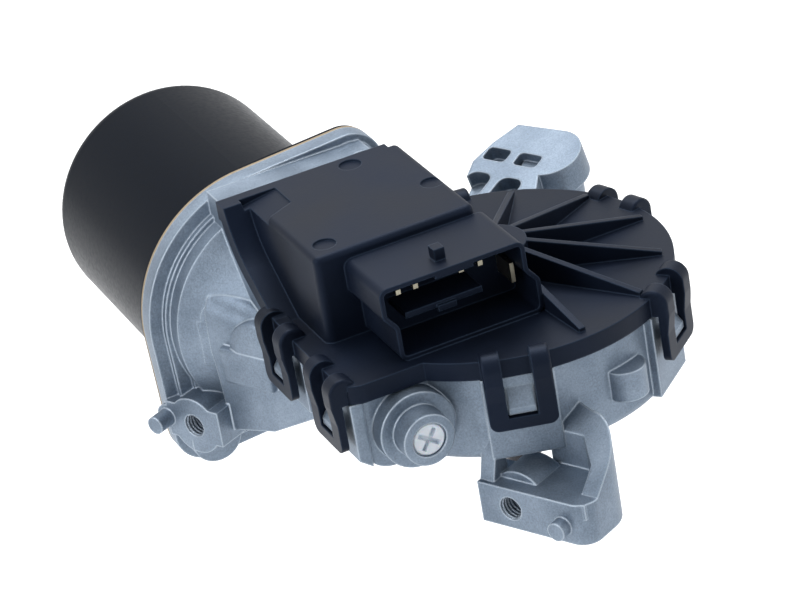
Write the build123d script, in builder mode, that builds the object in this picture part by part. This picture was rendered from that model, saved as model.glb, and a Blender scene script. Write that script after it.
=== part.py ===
from build123d import *
import os
from math import acos, atan2, cos, degrees, pi, radians, sin, sqrt, tan

os.makedirs("parts", exist_ok=True)

# Vehicle wiper motor. Origin: free end of the output shaft, on its axis. +Z runs up that
# axis to the gear cover, +Y along the armature from the gearbox to the closed end of the can.

# ---- Output shaft stack, upwards from its free end ----
crank_thread_length = 11.0
crank_seat_length = 8.0
neck_length = 3.5
boss_length = 16.0
floor_thickness = 3.5
bowl_depth = 21.0
gasket_thickness = 0.5
lid_thickness = 2.5

# ---- Gear pair ----
tooth_module = 1.25
wheel_teeth = 51
worm_pitch_radius = 5.225
wheel_face = 9.0
worm_above_floor = 9.4
tooth_backlash = 0.32
tooth_addendum = 1.0
tooth_dedendum = 1.3
pressure_angle = 18.0
worm_length = 26.0

# ---- Gear cover, seen from above ----
lid_radius = 43.0
lid_left = 52.0
lid_front = 28.5
lid_rear = 39.6
lid_corner_radius = 5.0
lid_rear_corner_radius = 7.5
chamfer_start_x = -29.0
chamfer_end_x = -20.0
chamfer_end_y = -36.5
disc_side_x = -7.0
skirt_depth = 4.7
skirt_wall = 1.7
skirt_clearance = 0.3
gasket_width = 2.2
ramp_angle = 33.0
pipe_radius = 20.0
pipe_y = 15.0
pipe_height = 26.2
ramp_top = 22.0

# ---- Electronics box and connector on the cover ----
box_left = -46.2
box_right = -3.6
box_front = -6.0
box_rear = 39.0
box_height = 22.0
box_wall = 2.0
box_draft = 1.5
box_edge_radius = 1.5
box_corner_radius = 2.2
facet_width = 8.5
facet_length = 12.5
facet_skew = 5.0
facet_lip = 2.5
facet_slope = 9.0
facet_step = 0.5
dimple_places = ((-40.3, 0.7), (-18.3, 35.0), (-7.0, 12.2))
dimple_radius = 2.8
dimple_depth = 0.6
socket_left = -38.7
socket_right = -1.6
socket_mouth = -25.2
socket_top = 19.5
socket_shift = 2.6
socket_split = 12.0
socket_slant = 3.3
socket_corner_radius = 2.2
socket_wall = 1.1
socket_back = -12.5
tongue_height = 10.2
tongue_thickness = 1.5
tongue_left = -32.0
tongue_width = 19.7
tongue_reach = 9.5
tongue_block_x = -21.7
tongue_block_width = 4.7
tongue_block_proud = 0.8
latch_x = -19.6
latch_width = 9.7
latch_length = 3.2
latch_height = 0.9
key_x = -20.8
key_y = -19.3
key_width = 2.7
key_length = 3.2
key_height = 3.0

# ---- Cover ribs ----
hub_radius = 9.0
hub_height = 8.2
rib_count = 6
rib_first_angle = -85.5
rib_step = 28.6
rib_width = 1.6
rib_end_radius = 40.2
rib_end_height = 1.0

# ---- Clips ----
clip_width = 16.0
clip_leg = 4.5
clip_drop = 17.0
clip_bar = 3.0
clip_stand_off = 0.8
clip_thickness = 1.9
clip_arch = 3.8
clip_rise = 1.9
clip_bulge = 0.7
clip_corner_radius = 2.2
clip_edge_radius = 0.7
disc_clip_angles = (-110.0, -48.0, 18.5, 83.0)
side_clip_y = (-18.8, 10.0)
side_clip_rise = (0.0, 0.8)
catch_width = 6.4
catch_top = 6.0
catch_bottom = 13.4
catch_proud = 2.1

# ---- Housing ----
wall_thickness = 4.0
tunnel_below_axis = 9.6
tunnel_corner = 8.0
bowl_edge_radius = 3.0
worm_clearance = 1.0
pad_width = 17.0
boss_radius = 11.0
boss_foot_radius = 15.0
plug_boss_radius = 6.4
plug_boss_length = 6.0
plug_shoulder_radius = 9.5
plug_shoulder_length = 4.8
hood_step = 2.5
hood_overlap = 8.0
funnel_start = 14.0
funnel_middle = 34.0
funnel_middle_radius = 17.5
funnel_end = 45.0
ledge_y = 24.0
ledge_left = -62.0
ledge_width = 14.0
ledge_top = -8.5
ledge_height = 12.0
ledge_boss_x = -56.0
ledge_boss_radius = 5.0
ridge_step = 3.5
ridge_rise = 1.8
gusset_web = 3.0
gusset_count = 6
gusset_end_radius = 24.0
lid_under_drop = 5.0
pad_drop = 21.0
pad_proud = 1.2
stub_angle = -72.0
stub_bottom = 20.0
stub_top = 12.5
stub_radius = 5.0
stub_dish = 1.0

# ---- Motor flange and can ----
flange_front = 51.5
flange_back = 56.2
flange_radius = 34.3
ear_offset_x = 25.0
ear_offset_z = 27.8
ear_radius = 8.5
can_gasket_thickness = 0.8
can_flange_thickness = 1.5
can_radius = 31.0
can_wall = 1.5
can_length = 71.0
can_end_radius = 5.0
bearing_cup_radius = 9.0
bearing_cup_length = 4.0
bell_radius = 29.5
brush_room_radius = 26.0
brush_ledge = 4.0
brush_plate_thickness = 2.5
brush_plate_y = 47.0
brush_room_y = 44.0

# ---- Mounting points ----
mount_turn = 27.7
mount_plane_reach = 39.7
mount_drop = 36.3
front_mount_along = 27.3
rear_mount_along = -69.8
thread_radius = 3.0
thread_depth = 12.0
rear_thread_depth = 9.5
thread_boss_radius = 7.6
pin_radius = 2.3
front_pin_along = 42.0
front_pin_length = 3.0
rear_pin_along = -78.3
rear_pin_length = 5.0
mount_half_height = 5.3
mount_plate = 5.0

bracket_left = 18.5
web_reach = 49.2
web_straight = 10.0
web_turn = 9.0
web_thickness = 4.5
web_root_along = 30.0
web_top_drop = 13.0
shelf_thickness = 4.0
shelf_depth = 11.0
shelf_notch_along = 30.3
gusset_thickness = 4.0
gusset_depth = 7.0
gusset_height = 17.0
pin_lift = -1.0
rear_pin_lift = 0.8
rear_block_depth = 17.0
rear_block_width = 16.8
rear_block_height = 9.6
rear_gusset_start = 4.0
rear_gusset_width = 3.0
rear_gusset_height = 12.0

# ---- Rear arm ----
arm_slope = 16.0
arm_along = -28.6
arm_depth = 65.0
arm_neck = -2.0
arm_drop = 6.5
arm_thickness = 8.0
arm_half = 9.0
arm_sink = 12.0
arm_length = 38.0
eye_radius = 7.5
eye_side = 6.5
eye_thread_depth = 10.0
eye_roof = 3.0
pocket_depth = 4.0
pocket_width = 7.0
pocket_length = 9.0
pocket_rib = 2.6

# ---- Shafts ----
output_radius = 5.0
crank_thread_radius = 4.0
crank_seat_radius = 4.6
armature_radius = 4.0
journal_radius = 3.0
output_top_length = 17.0
bush_wall = 2.0
output_bush_length = 7.0
front_bush_length = 9.0
drive_bush_radius = 8.0
drive_bush_length = 8.0
drive_bush_y = 30.0
plug_radius = 4.25
plug_length = 6.0
plug_recess = 0.4
thrust_pad_thickness = 1.2
seal_radius = 8.0
seal_length = 2.0
can_screw_radius = 2.5
can_screw_length = 10.0
screw_head_radius = 4.4
screw_head_height = 3.4
duct_left = 2.0
duct_width = 14.0
duct_bottom = 3.0
duct_height = 6.0
running_clearance = 0.03
press_clearance = 0.02
seat_clearance = 0.1
screw_play = 0.2
plug_chamfer = 0.5
slot_reach = 3.0
slot_width = 1.2
slot_depth = 1.4
slot_turn = -35.0
can_flange_inset = 0.3
can_gasket_inset = 0.0
magnet_y = 66.0
magnet_length = 44.0
magnet_inner_radius = 23.0
magnet_gap = 14.0
clip_sheet = 0.6
rear_bush_reach = 5.0
retainer_thickness = 0.8
retainer_radius = 22.0
retainer_slots = 6

# ---- Brush gear and commutator ----
commutator_radius = 10.5
commutator_y = 50.0
commutator_length = 12.0
commutator_bars = 12
bar_depth = 4.0
bar_gap = 0.6
brush_angles = (0.0, 180.0, -70.0)
brush_width = 4.8
brush_depth = 5.8
brush_start = 10.0
brush_length = 6.5
brush_gap = 0.15
holder_sheet = 0.6
holder_start = 13.2
holder_end = 25.2
lead_notch = 7.0
spring_radius = 1.8
spring_wire = 0.3
spring_pitch = 1.5
spring_length = 7.0
choke_radius = 2.8
choke_length = 11.0
choke_angles = (38.0, 142.0)
choke_place = 20.0
cutout_angle = -125.0
cutout_size = 8.0

# ---- Armature ----
core_radius = 21.5
core_y = 70.0
core_length = 34.0
core_slots = 12
core_hub_radius = 9.0
tooth_width = 3.4
tooth_shoe = 2.0
slot_mouth = 2.2
end_turn_length = 6.0
end_turn_radius = 19.0
end_turn_bore = 8.0

hook_height = 1.2
worm_pitches = 6
worm_root_sink = 0.4
shoulder_gap = 0.3

# ---- Worm wheel and park switch ----
wheel_rim_inner = 28.0
wheel_web_bottom = 3.0
wheel_web = 2.5
wheel_ribs = 8
wheel_rib_width = 1.8
wheel_hub_radius = 9.0
washer_thickness = 1.0
disc_outer_radius = 26.0
disc_inner_radius = 12.0
disc_seat = 3.0
disc_track = 6.0
disc_thickness = 0.6
shaft_stands_out = 4.6
seat_rise = 0.5
groove_radius = 4.3
groove_width = 1.0
ring_reach = 2.2
ring_gap = 3.0

# ---- Electronics ----
board_lift = 0.3
board_thickness = 1.6
board_gap = 0.6
relay_x = -34.0
relay_y = 9.8
relay_width = 15.0
relay_length = 19.0
relay_height = 16.0
capacitor_x = -15.0
capacitor_y = 14.0
capacitor_radius = 5.0
capacitor_height = 13.0
finger_x = (-14.5, -18.5, -22.5)
finger_width = 2.0
finger_thickness = 0.4
finger_root_y = 12.0
finger_reach = 10.0
finger_tip_y = 0.0
finger_gap = 0.15
pin_x = (-32.0, -27.6, -15.9, -11.0)
pin_height = 16.0
pin_size = 1.2
pin_tip_y = -20.0
pin_leg_y = -2.6
blade_x = -3.4
blade_thickness = 1.0
blade_bottom = 7.0
blade_top = 12.0
blade_leg_y = -12.0
blade_leg_width = 0.8
blade_foot = 0.6
lead_radius = 1.0
lead_bend = 3.0
lead_end_y = 27.0
lead_stands_out = 3.0
blade_foot_reach = 7.0
blade_foot_run = 11.0
lead_x = (-32.5, -28.0, -23.5)

# ---- Derived places ----
boss_end_z = crank_thread_length + crank_seat_length + neck_length
floor_under_z = boss_end_z + boss_length
floor_top_z = floor_under_z + floor_thickness
rim_z = floor_top_z + bowl_depth
lid_under_z = rim_z + gasket_thickness
lid_z = lid_under_z + lid_thickness
axis_z = floor_top_z + worm_above_floor
wheel_pitch_radius = tooth_module * wheel_teeth / 2
motor_x = -(wheel_pitch_radius + worm_pitch_radius)
housing_inset = skirt_wall + skirt_clearance
bowl_radius = lid_radius - housing_inset
mount_z = lid_z - mount_drop
output_axis = Axis((0, 0, 0), (0, 0, 1))
motor_axis = Axis((motor_x, 0, axis_z), (0, 1, 0))
can_flange_y = flange_back + can_gasket_thickness
can_end_y = can_flange_y + can_length
plug_face_y = -lid_front + housing_inset - plug_shoulder_length - plug_boss_length
plug_inner_y = plug_face_y + plug_recess + plug_length
front_bush_radius = journal_radius + bush_wall
front_bush_y = plug_inner_y + thrust_pad_thickness + 2 * seat_clearance
front_bush_end_y = front_bush_y + front_bush_length
worm_outer_radius = worm_pitch_radius + tooth_addendum
tunnel_end_y = worm_length / 2 + 8


def motor_section(y):
    """Plane across the armature at y: local x to the right, local y up."""
    return Plane(origin=(motor_x, y, axis_z), x_dir=(1, 0, 0), z_dir=(0, -1, 0))


# Plane through the armature axis: local x along +Y, local y is the radius.
motor_profile = Plane(origin=(motor_x, 0, axis_z), x_dir=(0, 1, 0), z_dir=(1, 0, 0))
# Side view plane: local x is Y, local y is Z.
side_view = Plane(origin=(0, 0, 0), x_dir=(0, 1, 0), z_dir=(1, 0, 0))
mount_normal = Vector(-cos(radians(mount_turn)), -sin(radians(mount_turn)), 0)
mount_along = Vector(sin(radians(mount_turn)), -cos(radians(mount_turn)), 0)
# Common plane of the two visible mounting faces: local x along the face, local y up.
mount_plane = Plane(
    origin=mount_normal * mount_plane_reach + Vector(0, 0, mount_z),
    x_dir=mount_along,
    z_dir=mount_normal,
)


def lid_outline(inset):
    """Plan of the cover, drawn inset from its edge: gear disc joined to the worm side."""
    edge = lid_radius - inset
    left = -lid_left + inset
    front = -lid_front + inset
    rear = lid_rear - inset
    Circle(edge)
    with BuildLine() as worm_side:
        Polyline(
            (disc_side_x, rear),
            (left, rear),
            (left, front),
            (chamfer_start_x + inset / 2, front),
            (chamfer_end_x + inset, chamfer_end_y + inset),
            (disc_side_x, chamfer_end_y + inset),
            close=True,
        )
    make_face(worm_side.edges())
    with Locations((disc_side_x + inset, rear)):
        Rectangle(edge, edge, align=(Align.MAX, Align.MIN), mode=Mode.SUBTRACT)
    front_corner, rear_corner = vertices().group_by(Axis.X)[0].sort_by(Axis.Y)
    fillet(front_corner, lid_corner_radius - inset / 2)
    fillet(rear_corner, lid_rear_corner_radius - inset / 2)


def ramp_lines(depth):
    """Side view of the cover surface, depth below its top: flat, slope, quarter pipe."""
    radius = pipe_radius + depth
    flat = lid_z - depth
    touch_y = pipe_y + radius * sin(radians(ramp_angle))
    touch_z = lid_z + pipe_height - radius * cos(radians(ramp_angle))
    slope_y = touch_y - (touch_z - flat) / tan(radians(ramp_angle))
    Line((-lid_radius - 10, flat), (slope_y, flat))
    Line((slope_y, flat), (touch_y, touch_z))
    CenterArc((pipe_y, lid_z + pipe_height), radius, ramp_angle - 90, 90 - ramp_angle)


def space_below(depth):
    """Everything that lies under the cover surface, depth below its top."""
    far = lid_radius + flange_back
    top = lid_z + pipe_height
    level_top = lid_z + ramp_top - depth
    with BuildPart() as space:
        with BuildSketch(side_view.offset(disc_side_x)):
            with BuildLine():
                ramp_lines(depth)
                Polyline(
                    (pipe_y + pipe_radius + depth, top),
                    (far, top),
                    (far, 0),
                    (-lid_radius - 10, 0),
                    (-lid_radius - 10, lid_z - depth),
                )
            make_face()
        extrude(amount=-far)
        with BuildSketch(Plane.XY.offset(level_top)):
            Rectangle(4 * far, 4 * far)
        extrude(amount=pipe_height, mode=Mode.SUBTRACT)
        with BuildSketch(Plane.XY):
            with Locations((disc_side_x, 0)):
                Rectangle(far, 2 * far, align=(Align.MIN, Align.CENTER))
        extrude(amount=lid_z - depth)
    return space.part


def lid_block(inset, bottom, depth):
    """Block of the cover's plan, inset from its edge, from bottom up to the given depth."""
    with BuildPart() as block:
        with BuildSketch(Plane.XY.offset(bottom)):
            lid_outline(inset)
        extrude(amount=lid_z + ramp_top - bottom)
        add(space_below(depth), mode=Mode.INTERSECT)
    return block.part


def flange_outline(inset):
    """Motor flange: the can circle and its two screw ears, joined by straight edges."""
    with BuildSketch(motor_section(0)) as outline:
        Circle(flange_radius - inset)
        with Locations((ear_offset_x, ear_offset_z), (-ear_offset_x, -ear_offset_z)):
            Circle(ear_radius - inset)
        make_hull()
    return outline.sketch


# Frames of the cover clips, on the skirt face at cover height: x along it, z outwards.
clip_frames = [
    Plane(
        origin=(lid_radius * cos(radians(a)), lid_radius * sin(radians(a)), lid_z),
        x_dir=(-sin(radians(a)), cos(radians(a)), 0),
        z_dir=(cos(radians(a)), sin(radians(a)), 0),
    )
    for a in disc_clip_angles
]
clip_frames += [
    Plane(origin=(-lid_left, y, lid_z + rise), x_dir=(0, -1, 0), z_dir=(-1, 0, 0))
    for y, rise in zip(side_clip_y, side_clip_rise)
]


def clip_loop(frame):
    """One U-shaped cover clip: arched legs over the rim and a bar under the catch."""
    side = Plane(origin=frame.origin, x_dir=frame.z_dir, z_dir=-frame.x_dir)
    outer = clip_stand_off + clip_thickness
    with BuildPart() as clip:
        with BuildSketch(side.offset(-clip_width / 2)):
            with BuildLine():
                ThreePointArc(
                    (-clip_arch, -lid_thickness / 2),
                    (outer * 0.1, clip_rise),
                    (outer + clip_bulge, -clip_rise),
                )
                Polyline(
                    (outer + clip_bulge, -clip_rise),
                    (outer + clip_bulge, -skirt_depth),
                    (outer, -2 * skirt_depth),
                    (outer, -clip_drop),
                    (clip_stand_off, -clip_drop),
                    (clip_stand_off, -skirt_depth),
                    (-skirt_wall / 2, -skirt_depth),
                    (-skirt_wall / 2, -lid_thickness / 2),
                    (-clip_arch, -lid_thickness / 2),
                )
            make_face()
        extrude(amount=clip_width)
        window = clip_width - 2 * clip_leg
        with BuildSketch(frame):
            with Locations((0, clip_bar - clip_drop)):
                Rectangle(window, clip_drop + clip_rise + 1, align=(Align.CENTER, Align.MIN))
        extrude(amount=outer + clip_bulge + 1, mode=Mode.SUBTRACT)
        with BuildSketch(frame.offset(-clip_arch - 1)):
            Rectangle(window, 2 * clip_drop, align=(Align.CENTER, Align.MIN))
        extrude(amount=2 * clip_arch + 1, mode=Mode.SUBTRACT)
        low = clip.edges().filter_by(Axis(frame.origin, frame.z_dir)).group_by(Axis.Z)[0]
        fillet(low, clip_corner_radius)
        high = clip.edges().filter_by(GeomType.CIRCLE).group_by(SortBy.LENGTH)[-1]
        fillet(high, clip_edge_radius)
    return clip.part


def box_room():
    """Space taken by the electronics box from the housing rim upwards, with clearance."""
    with BuildPart() as room:
        with BuildSketch(Plane.XY.offset(rim_z)):
            with Locations(((box_left + box_right) / 2, (box_front + box_rear) / 2)):
                Rectangle(
                    box_right - box_left + 2 * skirt_clearance,
                    box_rear - box_front + 2 * skirt_clearance,
                )
        extrude(amount=lid_thickness + box_height + gasket_thickness)
    return room.part


def blade_side(clearance):
    """Side view of the ground blade: its tip in the socket and its leg down to the board."""
    Polygon(
        (pin_tip_y, lid_z + blade_bottom - clearance),
        (pin_tip_y, lid_z + blade_top + clearance),
        (blade_leg_y + blade_leg_width + clearance, lid_z + blade_top + clearance),
        (blade_leg_y + blade_leg_width + clearance, rim_z - blade_foot),
        (blade_leg_y - clearance, rim_z - blade_foot),
        (blade_leg_y - clearance, lid_z + blade_bottom - clearance),
        align=None,
    )


# ---- Gear cover: moulded plate, skirt, electronics box, plug shroud, ribs and clips ----
with BuildPart() as gear_cover:
    add(lid_block(0, lid_z - skirt_depth - 5, 0))
    add(space_below(skirt_depth), mode=Mode.SUBTRACT)
    add(lid_block(skirt_wall, lid_z - skirt_depth - 6, lid_thickness), mode=Mode.SUBTRACT)
    # Hub and tapering ribs over the gear disc
    with BuildSketch(Plane.XY.offset(lid_under_z)):
        Circle(hub_radius)
    extrude(amount=lid_thickness + hub_height)
    for rib in range(rib_count):
        turn = radians(rib_first_angle + rib * rib_step)
        outwards = Vector(cos(turn), sin(turn), 0)
        rib_plane = Plane(
            origin=(0, 0, lid_z), x_dir=outwards, z_dir=(sin(turn), -cos(turn), 0)
        )
        with BuildSketch(rib_plane.offset(-rib_width / 2)):
            Polygon(
                (hub_radius - 1, -lid_thickness / 2),
                (rib_end_radius, -lid_thickness / 2),
                (rib_end_radius, rib_end_height),
                (hub_radius - 1, hub_height),
                align=None,
            )
        extrude(amount=rib_width)
    # Electronics box, hollow and open underneath
    box_middle = ((box_left + box_right) / 2, (box_front + box_rear) / 2)
    box_top_z = lid_z + box_height
    with BuildSketch(Plane.XY.offset(lid_under_z)):
        with Locations(box_middle):
            RectangleRounded(box_right - box_left, box_rear - box_front, box_corner_radius)
    box = extrude(amount=lid_thickness + box_height, taper=box_draft)
    fillet(box.faces().sort_by(Axis.Z)[-1].edges(), box_edge_radius)
    facet_plane = Plane(
        origin=(box_left + facet_width, 0, box_top_z),
        x_dir=(cos(radians(facet_slope)), 0, sin(radians(facet_slope))),
        z_dir=(-sin(radians(facet_slope)), 0, cos(radians(facet_slope))),
    )
    with BuildSketch(facet_plane.offset(-facet_step)):
        Polygon(
            (0, box_rear - facet_lip),
            (0, box_rear - facet_length),
            (-facet_width - 1, box_rear - facet_length - facet_skew),
            (-facet_width - 1, box_rear - facet_lip),
            align=None,
        )
    extrude(amount=facet_width, mode=Mode.SUBTRACT)
    with BuildSketch(Plane.XY.offset(box_top_z)):
        with Locations(dimple_places):
            Circle(dimple_radius)
    extrude(amount=-dimple_depth, mode=Mode.SUBTRACT)
    with BuildSketch(Plane.XY.offset(rim_z)):
        with Locations(box_middle):
            Rectangle(
                box_right - box_left - 2 * box_wall,
                box_rear - box_front - 2 * box_wall,
            )
    extrude(amount=box_height + lid_z - rim_z - box_wall, taper=box_draft, mode=Mode.SUBTRACT)
    # Plug shroud: an upper bay for the pins and a lower bay set to one side
    step_z = lid_z + socket_split
    mouth_plane = Plane.XZ.offset(-socket_mouth)
    with BuildSketch(mouth_plane) as shroud_outline:
        Polygon(
            (socket_left, step_z),
            (socket_left, lid_z + socket_top),
            (socket_right, lid_z + socket_top),
            (socket_right, step_z),
            (socket_right + socket_shift, step_z - socket_slant),
            (socket_right + socket_shift, lid_z),
            (socket_left + socket_shift, lid_z),
            (socket_left + socket_shift, step_z - socket_slant),
            align=None,
        )
        fillet(vertices(), socket_corner_radius)
    extrude(amount=socket_mouth - box_front - box_wall / 2)
    with BuildSketch(mouth_plane) as bay_outline:
        add(shroud_outline.sketch)
        offset(amount=-socket_wall)
    extrude(amount=socket_mouth - socket_back, mode=Mode.SUBTRACT)
    # Core behind the bays, open towards the circuit board
    core_left = tongue_left - box_wall
    with BuildSketch(Plane.XY.offset(rim_z)):
        with Locations((core_left, box_front)):
            Rectangle(
                box_right - box_wall - core_left,
                box_front - socket_back - socket_wall,
                align=(Align.MIN, Align.MAX),
            )
    extrude(amount=lid_z + socket_top - box_wall - rim_z, mode=Mode.SUBTRACT)
    # Tongue between the two bays, with a guide block at its tip
    tongue_z = lid_z + tongue_height - tongue_thickness
    with BuildSketch(Plane.XY.offset(tongue_z)):
        with Locations((tongue_left, socket_back)):
            Rectangle(tongue_width, tongue_reach, align=(Align.MIN, Align.MAX))
    extrude(amount=tongue_thickness)
    with Locations((tongue_block_x, socket_back - tongue_reach, tongue_z)):
        Box(tongue_block_width, 2 * tongue_block_proud, tongue_thickness)
    # Latch rib under the roof of the mouth
    with Locations((latch_x, socket_mouth, lid_z + socket_top - socket_wall)):
        Box(
            latch_width,
            latch_length,
            2 * latch_height,
            align=(Align.CENTER, Align.MIN, Align.CENTER),
        )
    # Keying tab on top of the shroud
    with Locations((key_x, key_y, lid_z + socket_top)):
        Box(key_width, key_length, 2 * key_height)
    # Passages for the pins and the ground blade
    with BuildSketch(Plane.XZ.offset(-socket_back)):
        with Locations([(x, lid_z + pin_height - pin_size) for x in pin_x]):
            Rectangle(pin_size + 2 * press_clearance, pin_size + 2 * press_clearance)
    extrude(amount=socket_back - pin_leg_y, mode=Mode.SUBTRACT)
    with BuildSketch(Plane.YZ.offset(blade_x)):
        blade_side(press_clearance)
    extrude(amount=blade_thickness / 2 + press_clearance, both=True, mode=Mode.SUBTRACT)
    # Window for the leads in the rear wall of the box
    with BuildSketch(Plane.XZ.offset(-box_rear - skirt_clearance)):
        with Locations((motor_x + duct_left, lid_z + duct_bottom)):
            Rectangle(duct_width, duct_height, align=(Align.MIN, Align.MIN))
    extrude(amount=2 * box_wall, mode=Mode.SUBTRACT)
    under_plate = lid_block(skirt_wall, lid_z - skirt_depth - 6, lid_thickness)
    for frame in clip_frames:
        add(clip_loop(frame) - under_plate)
gear_cover.part.label = "gear_cover"
export_step(gear_cover.part, "parts/gear_cover.step")

# ---- Cover gasket: rubber ring between the cover and the housing rim ----
with BuildPart() as cover_gasket:
    add(lid_block(housing_inset, rim_z - 5, lid_thickness))
    add(space_below(lid_thickness + gasket_thickness), mode=Mode.SUBTRACT)
    add(lid_block(housing_inset + gasket_width, rim_z - 6, 0), mode=Mode.SUBTRACT)
    add(box_room(), mode=Mode.SUBTRACT)
    add(gear_cover.part, mode=Mode.SUBTRACT)
cover_gasket.part.label = "cover_gasket"
export_step(cover_gasket.part, "parts/cover_gasket.step")


# ---- Front mounting bracket: plate, thread boss, shelf, curved web and gusset ----
mount_plan = Plane(
    origin=mount_normal * mount_plane_reach + Vector(0, 0, mount_z),
    x_dir=mount_along,
    z_dir=(0, 0, 1),
)
mount_side = Plane(origin=mount_plan.origin, x_dir=-mount_normal, z_dir=mount_along)
with BuildPart() as bracket_web:
    with BuildSketch(mount_plan.offset(-mount_half_height)):
        with BuildLine():
            outer_line = Line((web_reach, mount_plate - 0.5), (web_reach, web_straight))
            outer_arc = TangentArc(
                outer_line @ 1,
                (web_reach - web_turn, web_straight + web_turn),
                tangent=outer_line % 1,
            )
            Line(outer_arc @ 1, (web_root_along, web_straight + web_turn + web_thickness / 2))
            Line(
                (web_root_along, web_straight + web_turn + web_thickness / 2),
                (web_root_along, web_straight + web_turn - web_thickness),
            )
            Line(
                (web_root_along, web_straight + web_turn - web_thickness),
                (web_reach - web_turn, web_straight + web_turn - web_thickness),
            )
            Line(
                (web_reach - web_turn, web_straight + web_turn - web_thickness),
                (web_reach - web_thickness, web_straight),
            )
            Polyline(
                (web_reach - web_thickness, web_straight),
                (web_reach - web_thickness, mount_plate - 0.5),
                (web_reach, mount_plate - 0.5),
            )
        make_face()
    extrude(amount=mount_half_height + mount_drop - web_top_drop)
    web_root_depth = web_straight + web_turn
    with BuildSketch(mount_side.offset(-2 * web_reach)):
        Polygon(
            (mount_plate, mount_half_height),
            (web_root_depth + web_thickness, mount_drop - web_top_drop),
            (-1, mount_drop),
            (-1, mount_half_height),
            align=None,
        )
    extrude(amount=4 * web_reach, mode=Mode.SUBTRACT)
with BuildPart() as front_bracket:
    with BuildSketch(mount_plane):
        Polygon(
            (bracket_left, -mount_half_height),
            (web_reach, -mount_half_height),
            (web_reach, mount_half_height),
            (bracket_left, mount_half_height),
            align=None,
        )
    extrude(amount=-mount_plate)
    fillet(front_bracket.edges().filter_by(Axis.Z).sort_by(Axis.Y)[0], mount_plate - 0.5)
    add(bracket_web.part)
    with BuildSketch(mount_plan.offset(mount_half_height)):
        Polygon(
            (bracket_left, 0),
            (web_reach - 1, 1),
            (web_reach - 1, web_straight),
            (web_reach - web_turn, web_root_depth),
            (shelf_notch_along + 2, web_root_depth),
            (shelf_notch_along, shelf_depth),
            (bracket_left, shelf_depth),
            align=None,
        )
    extrude(amount=-shelf_thickness)
    with BuildSketch(mount_plane.offset(-mount_plate + 1)):
        with Locations((front_mount_along, 0)):
            Circle(thread_boss_radius)
    extrude(amount=-(thread_depth - mount_plate + 2.5))
    with BuildSketch(mount_side.offset(bracket_left)):
        Polygon(
            (1, mount_half_height - 1),
            (gusset_depth, mount_half_height - 1),
            (gusset_depth, gusset_height),
            (gusset_depth - 2, gusset_height),
            align=None,
        )
    extrude(amount=gusset_thickness)
    with BuildSketch(mount_plane):
        with Locations((front_pin_along, pin_lift)):
            Circle(pin_radius)
    extrude(amount=front_pin_length)

# ---- Rear mounting block on the lower ear ----
with BuildPart() as rear_mount:
    with BuildSketch(mount_plane):
        with Locations((rear_mount_along, mount_half_height)):
            Rectangle(rear_block_width, rear_block_height, align=(Align.CENTER, Align.MAX))
        with Locations((rear_mount_along, 0)):
            Circle(thread_boss_radius)
        with Locations((rear_pin_along, rear_pin_lift)):
            Circle(pin_radius + 1)
    extrude(amount=-rear_block_depth)
    with BuildSketch(mount_side.offset(rear_mount_along - rear_gusset_width / 2)):
        Polygon(
            (rear_gusset_start, mount_half_height - 1),
            (rear_block_depth, mount_half_height + rear_gusset_height),
            (rear_block_depth, mount_half_height - 1),
            align=None,
        )
    extrude(amount=rear_gusset_width)
    with BuildSketch(mount_plane):
        with Locations((rear_pin_along, rear_pin_lift)):
            Circle(pin_radius)
    extrude(amount=rear_pin_length)
    with BuildSketch(motor_section(flange_back)):
        Rectangle(6 * can_radius, 6 * can_radius)
    extrude(amount=-can_length, mode=Mode.SUBTRACT)

# ---- Rear arm: an inclined slab with four lightening pockets and a mounting eye ----
arm_plane = Plane(
    origin=mount_normal * (mount_plane_reach - arm_depth)
    + mount_along * arm_along
    + Vector(0, 0, lid_z - arm_drop),
    x_dir=mount_along,
    z_dir=mount_normal * sin(radians(arm_slope)) + Vector(0, 0, cos(radians(arm_slope))),
)
eye_y = arm_length - eye_radius
eye_centre = arm_plane.from_local_coords(Vector(eye_side, eye_y, 0))
eye_face = Plane(origin=eye_centre - Vector(0, 0, eye_thread_depth + eye_roof))
with BuildPart() as rear_arm:
    with BuildSketch(arm_plane):
        with BuildLine():
            Polyline(
                (arm_neck, -arm_sink),
                (arm_neck, arm_length / 4),
                (-arm_half - 0.5, arm_length / 3),
                (-arm_half - 3.5, arm_length * 0.6),
                (-arm_half - 2, arm_length * 0.8),
                (-arm_half + 1, arm_length),
                (eye_side, arm_length + 0.8),
                (eye_side, eye_y - eye_radius),
                (arm_half - 1, arm_length * 0.6),
                (arm_half + 4, arm_length / 3),
                (arm_half + 5, -arm_sink),
                close=True,
            )
        make_face()
        with Locations((eye_side, eye_y)):
            Circle(eye_radius + 0.8)
    extrude(amount=-arm_thickness)
    pitch = pocket_width + pocket_rib
    with BuildSketch(arm_plane):
        with Locations((-pocket_rib, arm_length * 0.4)):
            with GridLocations(pitch, 0, 2, 1):
                RectangleRounded(pocket_width, pocket_length, pocket_rib)
        with Locations((-pocket_rib, arm_length * 0.7)):
            with GridLocations(pitch, 0, 2, 1):
                RectangleRounded(pocket_width, pocket_length / 2, pocket_rib / 2)
    extrude(amount=-pocket_depth, mode=Mode.SUBTRACT)
    with BuildSketch(eye_face):
        Circle(eye_radius)
    extrude(amount=eye_thread_depth)
    with BuildSketch(Plane.XY.offset(lid_z - skirt_depth - skirt_clearance)):
        Circle(lid_radius + skirt_clearance)
    extrude(amount=pipe_height, mode=Mode.SUBTRACT)

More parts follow.
